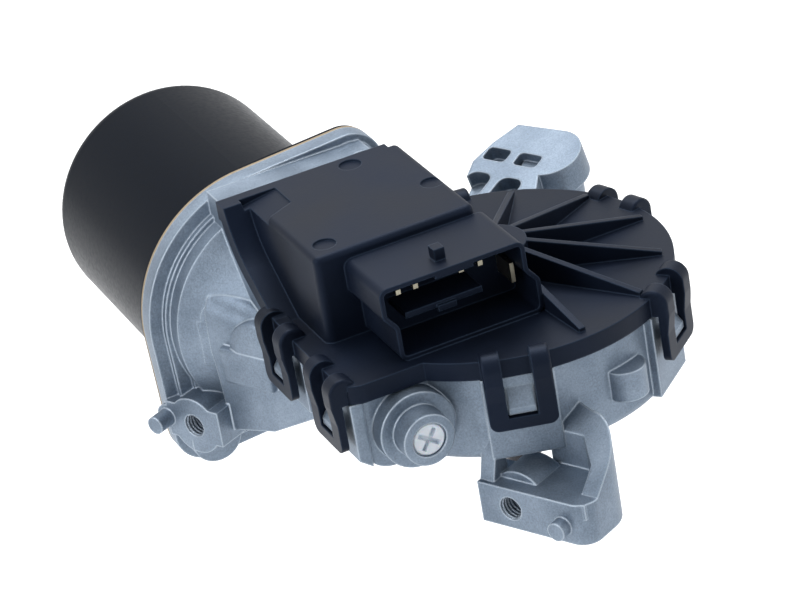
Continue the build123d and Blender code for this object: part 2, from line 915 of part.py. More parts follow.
# ---- Pads and catches for the cover clips, under the skirt ----
with BuildPart() as clip_pads:
    for frame in clip_frames:
        with BuildSketch(frame.offset(-housing_inset - 2)):
            with Locations((0, -lid_under_drop)):
                Rectangle(pad_width, pad_drop, align=(Align.CENTER, Align.MAX))
        extrude(amount=2 + pad_proud)
        side = Plane(origin=frame.origin, x_dir=frame.z_dir, z_dir=-frame.x_dir)
        with BuildSketch(side.offset(-catch_width / 2)):
            Polygon(
                (-housing_inset - 1, -catch_top + 1),
                (-housing_inset, -catch_top),
                (catch_proud, -catch_bottom + 1.5),
                (catch_proud, -catch_bottom),
                (-housing_inset - 1, -catch_bottom),
                align=None,
            )
        extrude(amount=catch_width)
    add(space_below(skirt_depth + skirt_clearance), mode=Mode.INTERSECT)

# ---- Gear housing: one aluminium casting ----
front_wall_y = -lid_front + housing_inset
rear_wall_y = lid_rear + skirt_clearance
hood_top_z = lid_z + ramp_top - hood_step
bush_outer_radius = armature_radius + bush_wall
with BuildPart() as gear_housing:
    # Worm side: plan of the cover, rounded along its lower left edge
    add(lid_block(housing_inset, axis_z - tunnel_below_axis, lid_thickness + gasket_thickness))
    with BuildSketch(Plane.XZ.offset(lid_radius + 5)):
        with Locations((-lid_left + housing_inset, axis_z - tunnel_below_axis)):
            Rectangle(3 * lid_radius, 3 * lid_radius, align=(Align.MIN, Align.MIN))
        fillet(vertices().sort_by(Axis.X)[:2].sort_by(Axis.Y)[0], tunnel_corner)
    extrude(amount=-4 * lid_radius, mode=Mode.INTERSECT)
    # Bowl
    with BuildSketch(Plane.XY.offset(floor_under_z)):
        Circle(bowl_radius)
    extrude(amount=lid_z - skirt_depth - skirt_clearance - floor_under_z)
    fillet(gear_housing.edges().group_by(Axis.Z)[0], bowl_edge_radius)
    # Hood that carries the rim up the ramp to the motor flange
    with BuildSketch(Plane.XY.offset(axis_z - tunnel_below_axis)):
        with Locations((-lid_left + housing_inset, rear_wall_y - hood_overlap)):
            Rectangle(
                lid_left + disc_side_x - 2 * housing_inset,
                flange_front + hood_overlap - rear_wall_y,
                align=(Align.MIN, Align.MIN),
            )
    hood = extrude(amount=hood_top_z - axis_z + tunnel_below_axis, mode=Mode.PRIVATE)
    add(hood & space_below(skirt_depth + skirt_clearance))
    with BuildSketch(Plane.XY.offset(axis_z)):
        with Locations((-lid_left + housing_inset, rear_wall_y)):
            Rectangle(
                lid_left + disc_side_x - 2 * housing_inset,
                flange_front - rear_wall_y,
                align=(Align.MIN, Align.MIN),
            )
    extrude(amount=hood_top_z - axis_z)
    # Funnel from the worm tunnel to the brush room
    with BuildSketch(motor_profile):
        with BuildLine():
            funnel = Line((0, 0), (0, tunnel_below_axis))
            Line((0, tunnel_below_axis), (funnel_start, tunnel_below_axis))
            ThreePointArc(
                (funnel_start, tunnel_below_axis),
                (funnel_middle, funnel_middle_radius),
                (funnel_end, bell_radius),
            )
            Polyline((funnel_end, bell_radius), (flange_back, bell_radius), (flange_back, 0), (0, 0))
        make_face()
    revolve(axis=motor_axis)
    # Flange with two stepped ridges along its outline
    extrude(flange_outline(0).moved(Location((0, flange_front, 0))), amount=flange_front - flange_back)
    for step in (1, 2):
        ridge = flange_outline(step * ridge_step).moved(Location((0, flange_front - step * ridge_rise, 0)))
        extrude(ridge, amount=-ridge_rise)
    with BuildSketch(motor_section(flange_front)):
        with Locations((ear_offset_x, ear_offset_z), (-ear_offset_x, -ear_offset_z)):
            Circle(ear_radius - 2)
    extrude(amount=can_screw_length - flange_back + flange_front + 1.5)
    # Ledge with a half-round boss, left of the funnel
    with BuildSketch(motor_section(ledge_y)):
        with Locations((ledge_left - motor_x, ledge_top + lid_z - axis_z)):
            Rectangle(ledge_width, ledge_height, align=(Align.MIN, Align.MAX))
        with Locations((ledge_boss_x - motor_x, ledge_top + lid_z - axis_z)):
            Circle(ledge_boss_radius)
    extrude(amount=ledge_y - flange_front)
    # Output bearing boss and its gussets under the floor
    with BuildSketch(Plane.XY.offset(boss_end_z)):
        Circle(boss_radius)
    extrude(amount=boss_length + 1)
    with BuildSketch(Plane.XZ.offset(-gusset_web / 2)):
        Polygon(
            (0, boss_end_z + boss_length / 3),
            (boss_radius, boss_end_z + boss_length / 3),
            (gusset_end_radius, floor_under_z),
            (gusset_end_radius, floor_under_z + 1),
            (0, floor_under_z + 1),
            align=None,
        )
    gusset = extrude(amount=gusset_web, mode=Mode.PRIVATE)
    with PolarLocations(0, gusset_count):
        add(gusset)
    # Thrust screw boss on its half-round shoulder
    with BuildSketch(motor_section(front_wall_y)):
        Circle(plug_shoulder_radius)
    extrude(amount=plug_shoulder_length)
    with BuildSketch(motor_section(front_wall_y)):
        Circle(plug_boss_radius)
    extrude(amount=plug_shoulder_length + plug_boss_length)
    add(clip_pads.part)
    # Dished stub on the bowl wall
    stub = radians(stub_angle)
    with BuildSketch(Plane.XY.offset(lid_z - stub_bottom)):
        with Locations((bowl_radius * cos(stub), bowl_radius * sin(stub))):
            Circle(stub_radius)
    extrude(amount=stub_bottom - stub_top)
    add(front_bracket.part)
    add(rear_mount.part)
    add(rear_arm.part)

    # Room for the electronics box
    add(box_room(), mode=Mode.SUBTRACT)
    # Gear room
    with BuildSketch(Plane.XY.offset(floor_top_z)):
        Circle(bowl_radius - wall_thickness)
    extrude(amount=bowl_depth + 1, mode=Mode.SUBTRACT)
    # Shaft bore with a seal recess at its foot
    with BuildSketch(Plane.XY.offset(boss_end_z)):
        Circle(output_radius + bush_wall)
    extrude(amount=boss_length + floor_thickness, mode=Mode.SUBTRACT)
    with BuildSketch(Plane.XY.offset(boss_end_z)):
        Circle(seal_radius)
    extrude(amount=seal_length, mode=Mode.SUBTRACT)
    # Stepped bore for plug, bush, worm, drive bearing and brush gear
    with BuildSketch(motor_profile):
        Polygon(
            (plug_face_y - 1, 0),
            (plug_face_y - 1, plug_radius),
            (plug_inner_y, plug_radius),
            (plug_inner_y, front_bush_radius),
            (front_bush_end_y, front_bush_radius),
            (front_bush_end_y, worm_outer_radius + worm_clearance),
            (tunnel_end_y, worm_outer_radius + worm_clearance),
            (tunnel_end_y, armature_radius + worm_clearance),
            (drive_bush_y, armature_radius + worm_clearance),
            (drive_bush_y, drive_bush_radius),
            (brush_room_y, drive_bush_radius),
            (brush_room_y, brush_room_radius - brush_ledge),
            (brush_plate_y, brush_room_radius - brush_ledge),
            (brush_plate_y, brush_room_radius),
            (flange_back + 1, brush_room_radius),
            (flange_back + 1, 0),
            align=None,
        )
    revolve(axis=motor_axis, mode=Mode.SUBTRACT)
    # Duct for the leads, from the brush room up into the electronics box
    with BuildSketch(motor_section(box_rear - hood_overlap)):
        with Locations((duct_left, lid_z - axis_z + duct_bottom)):
            Rectangle(duct_width, duct_height, align=(Align.MIN, Align.MIN))
    extrude(amount=box_rear - hood_overlap - brush_plate_y, mode=Mode.SUBTRACT)
    # Screw holes for the can
    with BuildSketch(motor_section(flange_back)):
        with Locations((ear_offset_x, ear_offset_z), (-ear_offset_x, -ear_offset_z)):
            Circle(can_screw_radius)
    extrude(amount=can_screw_length, mode=Mode.SUBTRACT)
    # Threaded mounting holes
    with BuildSketch(mount_plane):
        with Locations((front_mount_along, 0)):
            Circle(thread_radius)
    extrude(amount=-thread_depth, mode=Mode.SUBTRACT)
    with BuildSketch(mount_plane):
        with Locations((rear_mount_along, 0)):
            Circle(thread_radius)
    extrude(amount=-rear_thread_depth, mode=Mode.SUBTRACT)
    with BuildSketch(eye_face):
        Circle(thread_radius)
    extrude(amount=eye_thread_depth, mode=Mode.SUBTRACT)
gear_housing.part.label = "gear_housing"
export_step(gear_housing.part, "parts/gear_housing.step")


# ---- Thrust screw: plastic plug with a cross slot ----
with BuildPart() as thrust_screw:
    with BuildSketch(motor_section(plug_face_y + plug_recess)):
        Circle(plug_radius - press_clearance)
    extrude(amount=-plug_length)
    chamfer(thrust_screw.edges().group_by(Axis.Y)[0], plug_chamfer)
    with BuildSketch(motor_section(plug_face_y + plug_recess)):
        Rectangle(2 * slot_reach, slot_width, rotation=slot_turn)
        Rectangle(2 * slot_reach, slot_width, rotation=slot_turn + 90)
    extrude(amount=-slot_depth, mode=Mode.SUBTRACT)
thrust_screw.part.label = "thrust_screw"
export_step(thrust_screw.part, "parts/thrust_screw.step")

# ---- Thrust pads at the two ends of the armature shaft ----
shaft_front_y = plug_inner_y + thrust_pad_thickness + seat_clearance
shaft_rear_y = can_end_y + bearing_cup_length - can_wall - thrust_pad_thickness - 2 * seat_clearance
with BuildPart() as thrust_pads:
    for y in (plug_inner_y + press_clearance, shaft_rear_y + seat_clearance):
        with BuildSketch(motor_section(y)):
            Circle(journal_radius)
        extrude(amount=-(thrust_pad_thickness - press_clearance))
thrust_pads.part.label = "thrust_pads"
export_step(thrust_pads.part, "parts/thrust_pads.step")

# ---- Sintered bushes of the armature ----
with BuildPart() as front_bush:
    with BuildSketch(motor_section(front_bush_y)):
        Circle(front_bush_radius - press_clearance)
        Circle(journal_radius + running_clearance, mode=Mode.SUBTRACT)
    extrude(amount=-front_bush_length)
front_bush.part.label = "front_bush"
export_step(front_bush.part, "parts/front_bush.step")

with BuildPart() as drive_bush:
    with BuildSketch(motor_section(drive_bush_y + press_clearance)):
        Circle(drive_bush_radius - press_clearance)
        Circle(armature_radius + running_clearance, mode=Mode.SUBTRACT)
    extrude(amount=-drive_bush_length)
    chamfer(drive_bush.faces().filter_by(GeomType.PLANE).sort_by(Axis.Y)[-1].edges(), plug_chamfer)
drive_bush.part.label = "drive_bush"
export_step(drive_bush.part, "parts/drive_bush.step")

# ---- Motor can: deep-drawn cup with a bearing pocket and a screw flange ----
with BuildPart() as motor_can:
    with BuildSketch(motor_profile):
        Polygon(
            (can_flange_y, 0),
            (can_flange_y, can_radius),
            (can_end_y, can_radius),
            (can_end_y, bearing_cup_radius),
            (can_end_y + bearing_cup_length, bearing_cup_radius),
            (can_end_y + bearing_cup_length, 0),
            align=None,
        )
    revolve(axis=motor_axis)
    rims = motor_can.edges().filter_by(GeomType.CIRCLE).group_by(SortBy.RADIUS)
    fillet(rims[-1].sort_by(Axis.Y)[-1], can_end_radius)
    fillet(motor_can.edges().filter_by(GeomType.CIRCLE).sort_by(Axis.Y)[-1], can_wall)
    with BuildSketch(motor_profile):
        Polygon(
            (can_flange_y - 1, 0),
            (can_flange_y - 1, can_radius - can_wall),
            (can_end_y - can_end_radius, can_radius - can_wall),
            (can_end_y - can_wall, can_radius - can_end_radius),
            (can_end_y - can_wall, bearing_cup_radius - can_wall),
            (can_end_y + bearing_cup_length - can_wall, bearing_cup_radius - can_wall),
            (can_end_y + bearing_cup_length - can_wall, 0),
            align=None,
        )
    revolve(axis=motor_axis, mode=Mode.SUBTRACT)
    flange = flange_outline(can_flange_inset).moved(Location((0, can_flange_y, 0)))
    extrude(flange, amount=-can_flange_thickness)
    with BuildSketch(motor_section(can_flange_y)):
        Circle(can_radius - can_wall)
        with Locations((ear_offset_x, ear_offset_z), (-ear_offset_x, -ear_offset_z)):
            Circle(can_screw_radius + screw_play)
    extrude(amount=-can_flange_thickness, mode=Mode.SUBTRACT)
motor_can.part.label = "motor_can"
export_step(motor_can.part, "parts/motor_can.step")

# ---- Paper gasket between housing and can ----
with BuildPart() as can_gasket:
    sheet = flange_outline(can_gasket_inset).moved(Location((0, flange_back, 0)))
    extrude(sheet, amount=-can_gasket_thickness)
    with BuildSketch(motor_section(flange_back)):
        Circle(can_radius - can_wall)
        with Locations((ear_offset_x, ear_offset_z), (-ear_offset_x, -ear_offset_z)):
            Circle(can_screw_radius + screw_play)
    extrude(amount=-can_gasket_thickness, mode=Mode.SUBTRACT)
can_gasket.part.label = "can_gasket"
export_step(can_gasket.part, "parts/can_gasket.step")

# ---- Can screws: hexagon flange heads behind the can flange ----
head_y = can_flange_y + can_flange_thickness
with BuildPart() as can_screws:
    for side in (1, -1):
        spot = (side * ear_offset_x, side * ear_offset_z)
        with BuildSketch(motor_section(head_y)):
            with Locations(spot):
                Circle(screw_head_radius)
        extrude(amount=-screw_head_height / 3)
        with BuildSketch(motor_section(head_y)):
            with Locations(spot):
                RegularPolygon(screw_head_radius * 0.9, 6)
        extrude(amount=-screw_head_height)
        with BuildSketch(motor_section(head_y)):
            with Locations(spot):
                Circle(can_screw_radius - press_clearance)
        extrude(amount=head_y - flange_back + can_screw_length - 0.5)
can_screws.part.label = "can_screws"
export_step(can_screws.part, "parts/can_screws.step")

# ---- Field magnets: two arcs inside the can, held apart by spring clips ----
with BuildPart() as field_magnets:
    with BuildSketch(motor_section(magnet_y)):
        Circle(can_radius - can_wall - press_clearance)
        Circle(magnet_inner_radius, mode=Mode.SUBTRACT)
        Rectangle(magnet_gap, 3 * can_radius, mode=Mode.SUBTRACT)
    extrude(amount=-magnet_length)
field_magnets.part.label = "field_magnets"
export_step(field_magnets.part, "parts/field_magnets.step")

with BuildPart() as magnet_clips:
    spring_half = magnet_gap / 2 - press_clearance
    with BuildSketch(motor_section(magnet_y + magnet_length / 4)):
        for side in (1, -1):
            with BuildLine():
                Polyline(
                    (-spring_half, side * magnet_inner_radius * 1.02),
                    (-spring_half + 1, side * magnet_inner_radius * 1.17),
                    (spring_half - 1, side * magnet_inner_radius * 1.17),
                    (spring_half, side * magnet_inner_radius * 1.02),
                    (spring_half - clip_sheet, side * magnet_inner_radius * 1.02),
                    (spring_half - 1 - clip_sheet, side * (magnet_inner_radius * 1.17 - clip_sheet)),
                    (-spring_half + 1 + clip_sheet, side * (magnet_inner_radius * 1.17 - clip_sheet)),
                    (-spring_half + clip_sheet, side * magnet_inner_radius * 1.02),
                    close=True,
                )
            make_face()
    extrude(amount=-magnet_length / 2)
magnet_clips.part.label = "magnet_clips"
export_step(magnet_clips.part, "parts/magnet_clips.step")

# ---- Rear bearing and its spring retainer in the closed end of the can ----
rear_bush_radius = bearing_cup_radius - can_wall
with BuildPart() as rear_bush:
    with BuildSketch(motor_section(can_end_y - can_wall - rear_bush_reach)):
        Circle(rear_bush_radius - press_clearance)
        Circle(journal_radius + running_clearance, mode=Mode.SUBTRACT)
    extrude(amount=-(rear_bush_reach + bearing_cup_length - thrust_pad_thickness - 1))
    inner_face = rear_bush.faces().filter_by(GeomType.PLANE).sort_by(Axis.Y)[0]
    chamfer(inner_face.edges().sort_by(SortBy.RADIUS)[-1], 2 * plug_chamfer)
rear_bush.part.label = "rear_bush"
export_step(rear_bush.part, "parts/rear_bush.step")

with BuildPart() as bearing_retainer:
    with BuildSketch(motor_section(can_end_y - can_wall - retainer_thickness)):
        Circle(retainer_radius)
        Circle(rear_bush_radius + seat_clearance, mode=Mode.SUBTRACT)
        with PolarLocations(retainer_radius, retainer_slots):
            Rectangle(retainer_radius, 3.0, mode=Mode.SUBTRACT)
    extrude(amount=-(retainer_thickness - press_clearance))
bearing_retainer.part.label = "bearing_retainer"
export_step(bearing_retainer.part, "parts/bearing_retainer.step")

# ---- Brush plate: insulating disc on the ledge of the brush room, notched for the leads ----
brush_face_y = brush_plate_y + brush_plate_thickness
with BuildPart() as brush_plate:
    with BuildSketch(motor_section(brush_plate_y + press_clearance)):
        Circle(brush_room_radius - seat_clearance)
        Circle(commutator_radius + 2, mode=Mode.SUBTRACT)
        with Locations((duct_left + duct_width / 2, brush_room_radius)):
            Rectangle(duct_width, 2 * lead_notch, mode=Mode.SUBTRACT)
    extrude(amount=-(brush_plate_thickness - press_clearance))
brush_plate.part.label = "brush_plate"
export_step(brush_plate.part, "parts/brush_plate.step")

# ---- Brush holders, brushes and springs: common, low-speed and high-speed ----
holder_height = brush_depth + 2 * holder_sheet
with BuildPart() as brush_holders:
    for angle in brush_angles:
        with BuildSketch(motor_section(brush_face_y)):
            with Locations(Rotation(0, 0, angle) * Pos(holder_start, 0)):
                Rectangle(
                    holder_end - holder_start,
                    brush_width + 2 * holder_sheet,
                    align=(Align.MIN, Align.CENTER),
                )
        extrude(amount=-holder_height)
        with BuildSketch(motor_section(brush_face_y + holder_sheet)):
            with Locations(Rotation(0, 0, angle) * Pos(holder_start - 1, 0)):
                Rectangle(
                    holder_end - holder_start + 1 - holder_sheet,
                    brush_width,
                    align=(Align.MIN, Align.CENTER),
                )
        extrude(amount=-brush_depth, mode=Mode.SUBTRACT)
brush_holders.part.label = "brush_holders"
export_step(brush_holders.part, "parts/brush_holders.step")

brush_names = ("brush_common", "brush_low_speed", "brush_high_speed")
for brush_name, angle in zip(brush_names, brush_angles):
    with BuildPart() as brush:
        with BuildSketch(motor_section(brush_face_y + holder_sheet + press_clearance)):
            with Locations(Rotation(0, 0, angle) * Pos(brush_start, 0)):
                Rectangle(
                    brush_length,
                    brush_width - 2 * press_clearance,
                    align=(Align.MIN, Align.CENTER),
                )
            Circle(commutator_radius + brush_gap, mode=Mode.SUBTRACT)
        extrude(amount=-(brush_depth - 2 * press_clearance))
    brush.part.label = brush_name
    export_step(brush.part, f"parts/{brush_name}.step")

with BuildPart() as brush_spring:
    with BuildLine() as spring_path:
        Helix(spring_pitch, spring_length, spring_radius)
    with BuildSketch(Plane(origin=spring_path.line @ 0, z_dir=spring_path.line % 0)):
        Circle(spring_wire)
    sweep(path=spring_path.line, is_frenet=True)
spring_y = brush_face_y + holder_sheet + brush_depth / 2
spring_start = brush_start + brush_length + 2 * spring_wire
with BuildPart() as brush_springs:
    for angle in brush_angles:
        outwards = Vector(cos(radians(angle)), 0, sin(radians(angle)))
        seat = Plane(
            origin=Vector(motor_x, spring_y, axis_z) + outwards * spring_start,
            x_dir=(0, 1, 0),
            z_dir=outwards,
        )
        add(brush_spring.part.moved(seat.location))
brush_springs.part.label = "brush_springs"
export_step(brush_springs.part, "parts/brush_springs.step")

# ---- Interference suppression chokes and thermal cutout on the brush plate ----
with BuildPart() as suppression_chokes:
    for angle in choke_angles:
        with BuildSketch(motor_section(brush_face_y)):
            with Locations(Rotation(0, 0, angle) * Pos(choke_place, 0)):
                Circle(choke_radius)
        extrude(amount=-choke_length)
suppression_chokes.part.label = "suppression_chokes"
export_step(suppression_chokes.part, "parts/suppression_chokes.step")

with BuildPart() as thermal_cutout:
    with BuildSketch(motor_section(brush_face_y)):
        with Locations(Rotation(0, 0, cutout_angle) * Pos(choke_place - 1, 0)):
            Rectangle(cutout_size / 2, cutout_size)
    extrude(amount=-cutout_size)
    fillet(thermal_cutout.edges().filter_by(Axis.Y), plug_chamfer)
thermal_cutout.part.label = "thermal_cutout"
export_step(thermal_cutout.part, "parts/thermal_cutout.step")

# ---- Commutator: resin core carrying separate copper bars ----
with BuildPart() as commutator_core:
    with BuildSketch(motor_section(commutator_y)):
        Circle(commutator_radius - bar_depth)
        Circle(armature_radius + press_clearance, mode=Mode.SUBTRACT)
    extrude(amount=-commutator_length)
commutator_core.part.label = "commutator_core"
export_step(commutator_core.part, "parts/commutator_core.step")

with BuildPart() as commutator_copper:
    with BuildSketch(motor_section(commutator_y)):
        Circle(commutator_radius)
        Circle(commutator_radius - bar_depth + press_clearance, mode=Mode.SUBTRACT)
        with PolarLocations(0, commutator_bars):
            Rectangle(2 * commutator_radius, bar_gap, align=(Align.MIN, Align.CENTER), mode=Mode.SUBTRACT)
    extrude(amount=-commutator_length)
    with BuildSketch(motor_section(commutator_y + commutator_length)):
        with PolarLocations(commutator_radius, commutator_bars, start_angle=180 / commutator_bars):
            Rectangle(2 * hook_height, bar_gap * 2)
    extrude(amount=hook_height)
commutator_copper.part.label = "commutator_bars"
export_step(commutator_copper.part, "parts/commutator_bars.step")

# ---- Armature: slotted lamination stack with its windings ----
slot_step = 360 / core_slots
with BuildPart() as armature_core:
    with BuildSketch(motor_section(core_y)):
        Circle(core_radius)
        Circle(core_radius - tooth_shoe, mode=Mode.SUBTRACT)
        with PolarLocations(0, core_slots, start_angle=slot_step / 2):
            Rectangle(2 * core_radius, slot_mouth, align=(Align.MIN, Align.CENTER), mode=Mode.SUBTRACT)
        Circle(core_hub_radius)
        with PolarLocations(0, core_slots):
            Rectangle(core_radius - tooth_shoe / 2, tooth_width, align=(Align.MIN, Align.CENTER))
        Circle(armature_radius + press_clearance, mode=Mode.SUBTRACT)
    extrude(amount=-core_length)
armature_core.part.label = "armature_core"
export_step(armature_core.part, "parts/armature_core.step")

coil_gap = 2 * seat_clearance
with BuildPart() as armature_windings:
    for y, bulge in ((core_y - coil_gap, 1), (core_y + core_length + coil_gap, -1)):
        with BuildSketch(motor_section(y)):
            Circle(end_turn_radius)
            Circle(end_turn_bore, mode=Mode.SUBTRACT)
        ends = extrude(amount=bulge * end_turn_length)
    fillet(
        armature_windings.edges().filter_by(GeomType.CIRCLE).group_by(SortBy.RADIUS)[-1],
        end_turn_length / 3,
    )
    with BuildSketch(motor_section(core_y - coil_gap)):
        Circle(core_radius - tooth_shoe - coil_gap)
        Circle(core_hub_radius + coil_gap, mode=Mode.SUBTRACT)
        with PolarLocations(0, core_slots):
            Rectangle(
                2 * core_radius, tooth_width + 2 * coil_gap,
                align=(Align.MIN, Align.CENTER), mode=Mode.SUBTRACT,
            )
    extrude(amount=-(core_length + 2 * coil_gap))
armature_windings.part.label = "armature_windings"
export_step(armature_windings.part, "parts/armature_windings.step")

# ---- Armature shaft with its rolled single-start worm ----
tooth_pitch = pi * tooth_module
worm_half = worm_pitches / 2 * tooth_pitch
worm_root_radius = worm_pitch_radius - tooth_dedendum
thread_half = (tooth_pitch - tooth_backlash) / 4
crest_half = thread_half - tooth_addendum * tan(radians(pressure_angle))
foot_half = thread_half + (tooth_dedendum + worm_root_sink) * tan(radians(pressure_angle))
with BuildPart() as worm_thread:
    with BuildLine() as worm_path:
        Helix(tooth_pitch, 2 * worm_half, worm_root_radius - worm_root_sink)
    start = worm_path.line @ 0
    with BuildSketch(Plane(origin=start, x_dir=(1, 0, 0), z_dir=worm_path.line % 0)):
        Polygon(
            (0, -foot_half),
            (worm_outer_radius - worm_root_radius + worm_root_sink, -crest_half),
            (worm_outer_radius - worm_root_radius + worm_root_sink, crest_half),
            (0, foot_half),
            align=None,
        )
    sweep(path=worm_path.line, is_frenet=True)
worm_seat = Plane(origin=(motor_x, -worm_half, axis_z), x_dir=(1, 0, 0), z_dir=(0, 1, 0))
with BuildPart() as armature_shaft:
    with BuildSketch(motor_profile):
        Polygon(
            (shaft_front_y, 0),
            (shaft_front_y, journal_radius),
            (front_bush_end_y + shoulder_gap, journal_radius),
            (front_bush_end_y + shoulder_gap, armature_radius),
            (can_end_y - can_wall - rear_bush_reach - shoulder_gap, armature_radius),
            (can_end_y - can_wall - rear_bush_reach - shoulder_gap, journal_radius),
            (shaft_rear_y, journal_radius),
            (shaft_rear_y, 0),
            align=None,
        )
    revolve(axis=motor_axis)
    chamfer(armature_shaft.edges().group_by(Axis.Y)[0], plug_chamfer)
    chamfer(armature_shaft.edges().group_by(Axis.Y)[-1], plug_chamfer)
    add(worm_thread.part.moved(worm_seat.location))
armature_shaft.part.label = "armature_shaft"
export_step(armature_shaft.part, "parts/armature_shaft.step")

# ---- Worm wheel: helical plastic gear with ribbed web and hub ----
lead_slope = tooth_pitch / (2 * pi * worm_pitch_radius)
wheel_twist = degrees(wheel_face * lead_slope / wheel_pitch_radius)
wheel_bottom_z = axis_z - wheel_face / 2


def tooth_half_angle(radius):
    """Half of a wheel tooth's angle at a radius, along an involute flank, in degrees."""
    steep = radians(pressure_angle)
    local = acos(min(1, wheel_pitch_radius * cos(steep) / radius))
    thick = 2 * thread_half / (2 * wheel_pitch_radius)
    return degrees(thick + (tan(steep) - steep) - (tan(local) - local))


def wheel_outline(turn):
    """Closed outline of all wheel teeth, turned by the given angle."""
    tip = wheel_pitch_radius + tooth_addendum
    root = wheel_pitch_radius - tooth_dedendum
    flank = (root, wheel_pitch_radius, tip)
    points = []
    for tooth in range(wheel_teeth):
        middle = turn + tooth * 360 / wheel_teeth
        for radius in flank:
            angle = radians(middle - tooth_half_angle(radius))
            points.append((radius * cos(angle), radius * sin(angle)))
        for radius in reversed(flank):
            angle = radians(middle + tooth_half_angle(radius))
            points.append((radius * cos(angle), radius * sin(angle)))
    Polygon(*points, align=None)


with BuildPart() as worm_wheel:
    with BuildSketch(Plane.XY.offset(wheel_bottom_z)) as lower_teeth:
        wheel_outline(-wheel_twist / 2)
    with BuildSketch(Plane.XY.offset(wheel_bottom_z + wheel_face)) as upper_teeth:
        wheel_outline(wheel_twist / 2)
    loft(ruled=True)
    # Web, ribs and hub inside the rim
    with BuildSketch(Plane.XY.offset(wheel_bottom_z)):
        Circle(wheel_rim_inner)
    extrude(amount=wheel_web_bottom, mode=Mode.SUBTRACT)
    with BuildSketch(Plane.XY.offset(wheel_bottom_z + wheel_web_bottom + wheel_web)):
        Circle(wheel_rim_inner)
    extrude(amount=wheel_face, mode=Mode.SUBTRACT)
    with BuildSketch(Plane.XY.offset(wheel_bottom_z)):
        with PolarLocations(0, wheel_ribs):
            Rectangle(wheel_rim_inner + 0.5, wheel_rib_width, align=(Align.MIN, Align.CENTER))
    extrude(amount=wheel_web_bottom + 1)
    with BuildSketch(Plane.XY.offset(floor_top_z + washer_thickness + seat_clearance)):
        Circle(wheel_hub_radius)
    extrude(amount=wheel_bottom_z + wheel_face - floor_top_z - washer_thickness - seat_clearance)
    with BuildSketch(Plane.XY.offset(wheel_bottom_z + wheel_web_bottom + wheel_web - 0.5)):
        Circle(disc_outer_radius)
        Circle(disc_inner_radius, mode=Mode.SUBTRACT)
    extrude(amount=disc_seat + 0.5)
    with BuildSketch(Plane.XY.offset(floor_top_z)):
        Circle(output_radius + press_clearance)
    extrude(amount=bowl_depth, mode=Mode.SUBTRACT)
worm_wheel.part.label = "worm_wheel"
export_step(worm_wheel.part, "parts/worm_wheel.step")

# ---- Contact disc: punched copper track for the park switch ----
disc_z = wheel_bottom_z + wheel_web_bottom + wheel_web + disc_seat
with BuildPart() as contact_disc:
    with BuildSketch(Plane.XY.offset(disc_z)):
        Circle(disc_outer_radius - 0.5)
        Circle(disc_inner_radius + 0.5, mode=Mode.SUBTRACT)
        with BuildLine():
            outer_cut = CenterArc((0, 0), disc_outer_radius + 1, 150, 60)
            inner_cut = CenterArc((0, 0), disc_outer_radius - disc_track, 150, 60)
            Line(outer_cut @ 0, inner_cut @ 0)
            Line(outer_cut @ 1, inner_cut @ 1)
        make_face(mode=Mode.SUBTRACT)
    extrude(amount=disc_thickness)
contact_disc.part.label = "contact_disc"
export_step(contact_disc.part, "parts/contact_disc.step")

# ---- Output shaft: threaded end, knurled crank seat, ring groove and plain journal ----
shaft_top_z = wheel_bottom_z + wheel_face + shaft_stands_out
groove_z = crank_thread_length + crank_seat_length + 1
with BuildPart() as output_shaft:
    with BuildSketch(Plane.XZ):
        Polygon(
            (0, 0),
            (crank_thread_radius, 0),
            (crank_thread_radius, crank_thread_length),
            (crank_seat_radius - seat_rise, crank_thread_length + 0.5),
            (crank_seat_radius, crank_thread_length + crank_seat_length),
            (output_radius, crank_thread_length + crank_seat_length),
            (output_radius, groove_z),
            (groove_radius, groove_z),
            (groove_radius, groove_z + groove_width),
            (output_radius, groove_z + groove_width),
            (output_radius, shaft_top_z - plug_chamfer),
            (output_radius - plug_chamfer, shaft_top_z),
            (0, shaft_top_z),
            align=None,
        )
    revolve(axis=Axis.Z)
output_shaft.part.label = "output_shaft"
export_step(output_shaft.part, "parts/output_shaft.step")

# ---- Retaining ring, washers, seal and bushes along the output shaft ----
with BuildPart() as retaining_ring:
    with BuildSketch(Plane.XY.offset(groove_z + press_clearance)):
        Circle(output_radius + ring_reach)
        Circle(groove_radius + press_clearance, mode=Mode.SUBTRACT)
        with Locations((0, -output_radius)):
            Rectangle(ring_gap, 2 * output_radius, align=(Align.CENTER, Align.CENTER), mode=Mode.SUBTRACT)
    extrude(amount=groove_width - 2 * press_clearance)
retaining_ring.part.label = "retaining_ring"
export_step(retaining_ring.part, "parts/retaining_ring.step")

with BuildPart() as outer_washer:
    with BuildSketch(Plane.XY.offset(boss_end_z - washer_thickness - seat_clearance)):
        Circle(seal_radius)
        Circle(output_radius + running_clearance, mode=Mode.SUBTRACT)
    extrude(amount=washer_thickness)
outer_washer.part.label = "outer_washer"
export_step(outer_washer.part, "parts/outer_washer.step")

with BuildPart() as dust_seal:
    with BuildSketch(Plane.XY.offset(boss_end_z + press_clearance)):
        Circle(seal_radius - press_clearance)
        Circle(output_radius + running_clearance, mode=Mode.SUBTRACT)
    extrude(amount=seal_length - 2 * press_clearance)
dust_seal.part.label = "dust_seal"
export_step(dust_seal.part, "parts/dust_seal.step")

upper_bush_z = floor_top_z - output_bush_length - press_clearance
lower_bush_z = boss_end_z + seal_length + press_clearance
with BuildPart() as output_bushes:
    for z in (lower_bush_z, upper_bush_z):
        with BuildSketch(Plane.XY.offset(z)):
            Circle(output_radius + bush_wall - press_clearance)
            Circle(output_radius + running_clearance, mode=Mode.SUBTRACT)
        extrude(amount=output_bush_length)
output_bushes.part.label = "output_bushes"
export_step(output_bushes.part, "parts/output_bushes.step")

